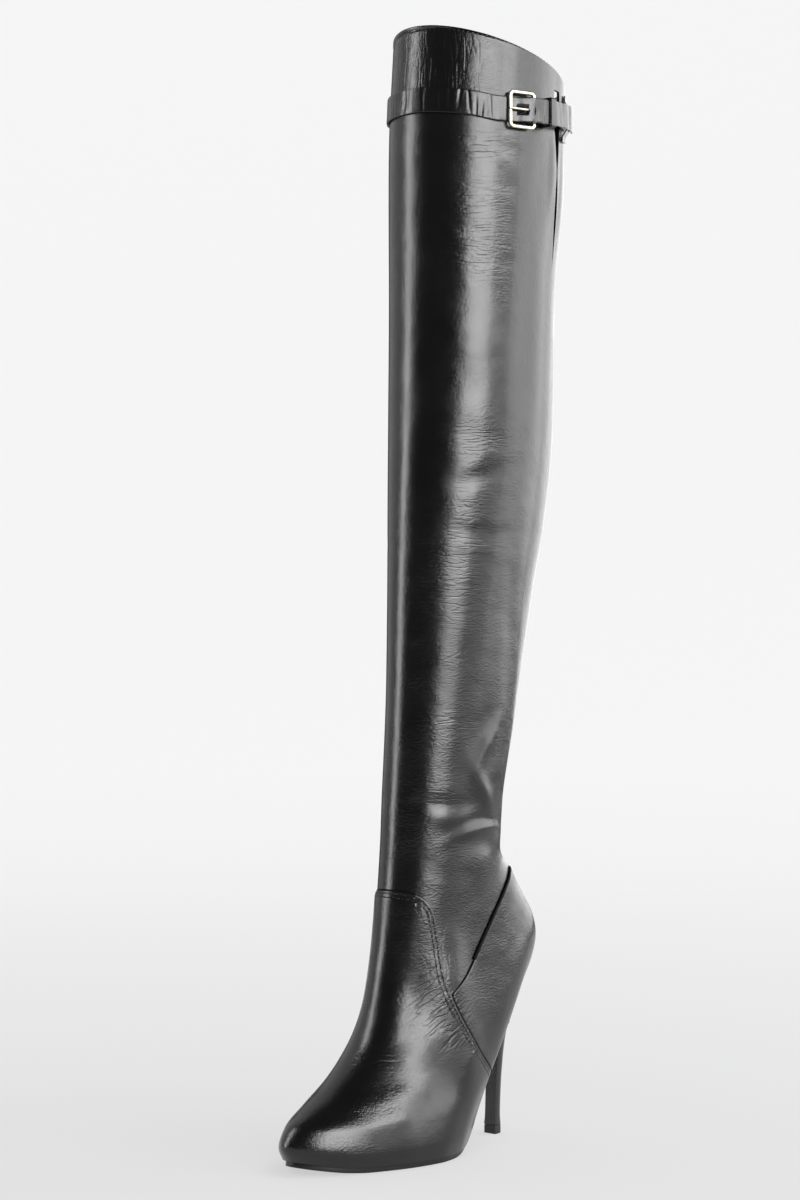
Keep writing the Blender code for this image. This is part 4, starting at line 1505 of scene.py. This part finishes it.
# Lights. bearing: degrees round the boot from the camera, plus to the right; high: metres over the
# floor; far: metres from the boot; wide and tall: metres; power: watts; reach: what the lamp lights.
LIGHTS = [
    # name, bearing, high, far, wide, tall, power, reach
    ("Broad front", 28, 0.98, 2.2, 1.3, 1.36, 58, "gloss"),
    ("High right", 57, 1.50, 2.2, 0.80, 0.90, 21, "gloss"),
    ("Front right", 64, 0.80, 2.2, 1.1, 1.6, 10, "gloss"),
    ("Side right", 100, 0.85, 2.0, 2.0, 1.5, 38, "gloss"),
    ("Back right", 150, 0.85, 2.0, 1.8, 1.5, 17, "gloss"),
    ("Edge left", -94, 0.80, 1.6, 0.40, 1.5, 14, "gloss"),
    ("Back left", -136, 1.10, 1.8, 1.8, 2.2, 6, "gloss"),
    ("Overhead", 100, 2.50, 0.9, 1.3, 1.3, 22, "floor"),
]


def stage_finish(settings):
    """Pale paper that glows, with painted shade: its glow is dimmer towards the boot."""
    made, tree, shader = new_finish("Pale backdrop")
    place = node(tree, "ShaderNodeTexCoord").outputs["Object"]
    away = node(tree, "ShaderNodeVectorMath", {0: place}, operation="LENGTH").outputs["Value"]
    settle(tree, shader, {
        # Painted shade: the glow falls from 1.0 far away to 0.78 near the boot
        "Emission Color": spread(tree, away, 0.3, 2.4, 0.78, 1.0),
        "Base Color": (*settings.floor_colour, 1),
        "Roughness": 0.9,
        "Specular IOR Level": 0.0,
        "Emission Strength": settings.backdrop_glow,
    })
    return made


def make_stage(settings):
    finish = stage_finish(settings)
    corner = [(STAGE_RADIUS - STAGE_CURVE, 0)]
    for step in range(1, STAGE_BEND_STEPS + 1):
        angle = math.pi / 2 * step / STAGE_BEND_STEPS
        across = STAGE_RADIUS - STAGE_CURVE * (1 - math.sin(angle))
        corner.append((across, STAGE_CURVE * (1 - math.cos(angle))))
    corner.append((STAGE_RADIUS, STAGE_TALL))
    for name, outline in (("studio_floor", [(0, 0), corner[0]]), ("studio_wall", corner)):
        work = bmesh.new()
        verts = [work.verts.new((across, 0, up)) for across, up in outline]
        edges = [work.edges.new(pair) for pair in zip(verts, verts[1:])]
        bmesh.ops.spin(
            work,
            geom=verts + edges,
            cent=(0, 0, 0),
            axis=(0, 0, 1),
            dvec=(0, 0, 0),
            angle=2 * math.pi,
            steps=STAGE_TURN_STEPS,
            use_merge=True,
            use_normal_flip=False,
            use_duplicate=False,
        )
        mesh = to_mesh(work, name, crease=80)
        mesh.flip_normals()
        mesh.materials.append(finish)
        piece = add_object(name, mesh)
        piece.visible_glossy = name == "studio_floor"


def make_lights(settings):
    for name, bearing, high, far, wide, tall, power, reach in LIGHTS:
        angle = math.radians(bearing)
        place = (VIEW_RIGHT * math.sin(angle) - VIEW_FORWARD * math.cos(angle)) * far
        place.z = high
        data = bpy.data.lights.new(name, "AREA")
        data.shape = "RECTANGLE"
        data.size = wide
        data.size_y = tall
        data.energy = power * settings.light_power
        lamp = bpy.data.objects.new(name, data)
        bpy.context.scene.collection.objects.link(lamp)
        lamp.visible_camera = False
        lamp.visible_glossy = reach == "gloss"
        lamp.visible_diffuse = reach == "floor"
        lamp.location = place
        lamp.rotation_euler = (LAMP_AIM - place).to_track_quat("-Z", "Y").to_euler()


def make_world(settings):
    world = bpy.data.worlds.new("Studio")
    bpy.context.scene.world = world
    world.use_nodes = True
    shade = world.node_tree.nodes["Background"]
    shade.inputs["Color"].default_value = (0.95, 0.97, 1.0, 1)
    shade.inputs["Strength"].default_value = settings.world_light


def make_camera():
    data = bpy.data.cameras.new("Photo camera")
    data.sensor_width = 36
    data.sensor_fit = "AUTO"
    data.lens = FOCAL
    data.shift_y = SHIFT_UP
    data.clip_end = 30
    camera = bpy.data.objects.new("Photo camera", data)
    bpy.context.scene.collection.objects.link(camera)
    camera.location = VIEW_RIGHT * CAMERA_ASIDE - VIEW_FORWARD * CAMERA_DISTANCE
    camera.location.z = CAMERA_HEIGHT
    camera.rotation_euler = (math.pi / 2, 0, VIEW_ANGLE)
    bpy.context.scene.camera = camera


# Panel, buttons and settings

class BootSettings(bpy.types.PropertyGroup):
    columns: IntProperty(
        name="Columns",
        description="Faces round the shaft",
        default=176,
        min=40,
        max=240,
    )
    leather_step: FloatProperty(
        name="Leather step",
        description="Height of the rows of faces in the leather",
        default=2.3 * MM,
        min=1.5 * MM,
        max=10 * MM,
        unit="LENGTH",
        precision=4,
    )
    sole_rows: IntProperty(
        name="Sole rows",
        description="Rows of faces along the sole",
        default=140,
        min=40,
        max=300,
    )
    leather_colour: FloatVectorProperty(
        name="Leather colour",
        description="Colour of the dressed leather",
        default=(0.004, 0.004, 0.0045),
        subtype="COLOR",
        min=0,
        max=1,
    )
    metal_colour: FloatVectorProperty(
        name="Buckle colour",
        description="Colour of the buckle's metal",
        default=(0.60, 0.555, 0.46),
        subtype="COLOR",
        min=0,
        max=1,
    )
    lining_colour: FloatVectorProperty(
        name="Lining colour",
        description="Colour of the lining and the footbed",
        default=(0.02, 0.018, 0.017),
        subtype="COLOR",
        min=0,
        max=1,
    )
    floor_colour: FloatVectorProperty(
        name="Floor colour",
        description="Colour of the floor and the backdrop",
        default=(0.25, 0.25, 0.253),
        subtype="COLOR",
        min=0,
        max=1,
    )
    backdrop_glow: FloatProperty(
        name="Backdrop glow",
        description="Light that the backdrop gives off itself",
        default=0.72,
        min=0,
        max=3,
    )
    light_power: FloatProperty(
        name="Light power",
        description="Strength of all the lamps, as a share",
        default=1.0,
        min=0,
        max=10,
    )
    world_light: FloatProperty(
        name="World light",
        description="Strength of the light from all round",
        default=0.06,
        min=0,
        max=3,
    )


class BuildUpper(bpy.types.Operator):
    """Hollow leather upper with its folds, rim and slit"""

    bl_idname = "boot.upper"
    bl_label = "Upper"

    def execute(self, context):
        settings = context.scene.boot
        groups = shared_groups()
        finish = leather("Upper leather", groups, settings, creased=True)
        make_upper(settings, finish)
        return {"FINISHED"}


class BuildPanels(bpy.types.Operator):
    """Vamp and counter laid over the upper, with their stitching"""

    bl_idname = "boot.panels"
    bl_label = "Vamp and counter"

    def execute(self, context):
        settings = context.scene.boot
        finish = bpy.data.materials["Upper leather"]
        front = seam_line(VAMP_SEAM)
        back = seam_line(COUNTER_SEAM)

        def in_vamp(points, normals):
            return -seam_distance(points, normals, front)

        def in_counter(points, normals):
            under = -seam_distance(points, normals, back)
            return np.minimum(under, seam_distance(points, normals, front) - GAP)

        vamp, (vamp_edge, *sewn) = overlay("vamp_leather", in_vamp, settings, STITCH_ROWS)
        lift = OVERLAY - SEWN_GROOVE / 2
        thread = stitches("vamp_thread", sewn, STITCH_STEP, STITCH_LENGTH, STITCH_THICK, lift)
        vamp = join("vamp_leather", [vamp, thread])
        mark_creases(vamp)
        finish_piece(vamp, finish, "upper_leather", "vamp")
        counter, (counter_edge,) = overlay("counter_leather", in_counter, settings)
        mark_creases(counter)
        finish_piece(counter, finish, "upper_leather", "counter")
        # One black matte finish for the raw edges, the leather's own cut edge, and for the painted shade in
        # the stitch grooves
        edge_and_groove_shade = rough_black("Raw edge and groove shade", shared_groups(), (0.003, 0.003, 0.003), 0.6, 500.0, 0.5, sheen=0.06)
        lift = OVERLAY - SEWN_GROOVE + GROOVE_SHADE_LIFT
        # Painted shade: a dark band along the bottom of each stitch groove
        groove_shade = []
        for row, line in enumerate(sewn):
            groove_shade.append(band(f"painted_groove_shade_{row}", line, GROOVE_SHADE_WIDTH, GROOVE_SHADE_THICK, lift))
        edges = join("vamp_edge", [raw_edge("vamp_raw_edge", vamp_edge, front, VAMP_RAW_EDGE), *groove_shade])
        finish_piece(edges, edge_and_groove_shade, "upper_leather")
        finish_piece(raw_edge("counter_edge", counter_edge, back, RAW_EDGE), edge_and_groove_shade, "upper_leather")
        return {"FINISHED"}


class BuildSole(bpy.types.Operator):
    """Outsole, footbed, covered heel and its top lift"""

    bl_idname = "boot.sole"
    bl_label = "Sole and heel"

    def execute(self, context):
        settings = context.scene.boot
        groups = shared_groups()
        sole = rough_black("Sole", groups, (0.012, 0.012, 0.012), 0.42, 700.0, 0.03)
        lining = rough_black("Lining", groups, settings.lining_colour, 0.6, 1200.0, 0.05)
        cover = leather("Heel cover", groups, settings, waves=0.04, wrinkles=0.02, coat=0.05)
        rubber = rough_black("Top lift rubber", groups, (0.015, 0.015, 0.015), 0.5, 900.0, 0.04)
        outsole = sole_sheet("outsole_leather", SOLE_INSET, -GAP, SOLE, -1, settings)
        finish_piece(outsole, sole, "sole", "outsole")
        footbed = sole_sheet("footbed", WALL + FOOTBED_GAP, 0, INSOLE, 1, settings)
        finish_piece(footbed, lining, "lining", "insole")
        make_heel(cover)
        make_heel_tip(rubber)
        return {"FINISHED"}


class BuildStrap(bpy.types.Operator):
    """Top strap with its buckle, short strap, keeper and belt loop"""

    bl_idname = "boot.strap"
    bl_label = "Strap and buckle"

    def execute(self, context):
        settings = context.scene.boot
        groups = shared_groups()
        finish = leather("Strap leather", groups, settings, waves=0.1, wrinkles=0.06, stretch=STRAP_DRAW)
        make_strap(finish)
        make_chape(finish)
        make_keeper(finish)
        make_shaft_loop(bpy.data.materials["Upper leather"])
        make_buckle(metal("Buckle metal", settings.metal_colour, 0.27))
        return {"FINISHED"}


class BuildStage(bpy.types.Operator):
    """Pale floor, soft lamps and the photo's camera"""

    bl_idname = "boot.stage"
    bl_label = "Floor, light and camera"

    def execute(self, context):
        settings = context.scene.boot
        context.scene.view_settings.view_transform = "Standard"
        make_stage(settings)
        make_lights(settings)
        make_world(settings)
        make_camera()
        return {"FINISHED"}


STEPS = (BuildUpper, BuildPanels, BuildSole, BuildStrap, BuildStage)


class BootPanel(bpy.types.Panel):
    """Sizes, colours and steps of the boot"""

    bl_idname = "BOOT_PT_main"
    bl_label = "Thigh high boot"
    bl_space_type = "VIEW_3D"
    bl_region_type = "UI"
    bl_category = "Boot"

    def draw(self, context):
        for name in BootSettings.__annotations__:
            self.layout.prop(context.scene.boot, name)
        for step in STEPS:
            self.layout.operator(step.bl_idname)


CLASSES = (BootSettings, *STEPS, BootPanel)


def register():
    for made in CLASSES:
        bpy.utils.register_class(made)
    bpy.types.Scene.boot = PointerProperty(type=BootSettings)


def unregister():
    del bpy.types.Scene.boot
    for made in reversed(CLASSES):
        bpy.utils.unregister_class(made)


def main():
    register()
    for step in STEPS:
        group, name = step.bl_idname.split(".")
        getattr(getattr(bpy.ops, group), name)()


if __name__ == "__main__":
    main()
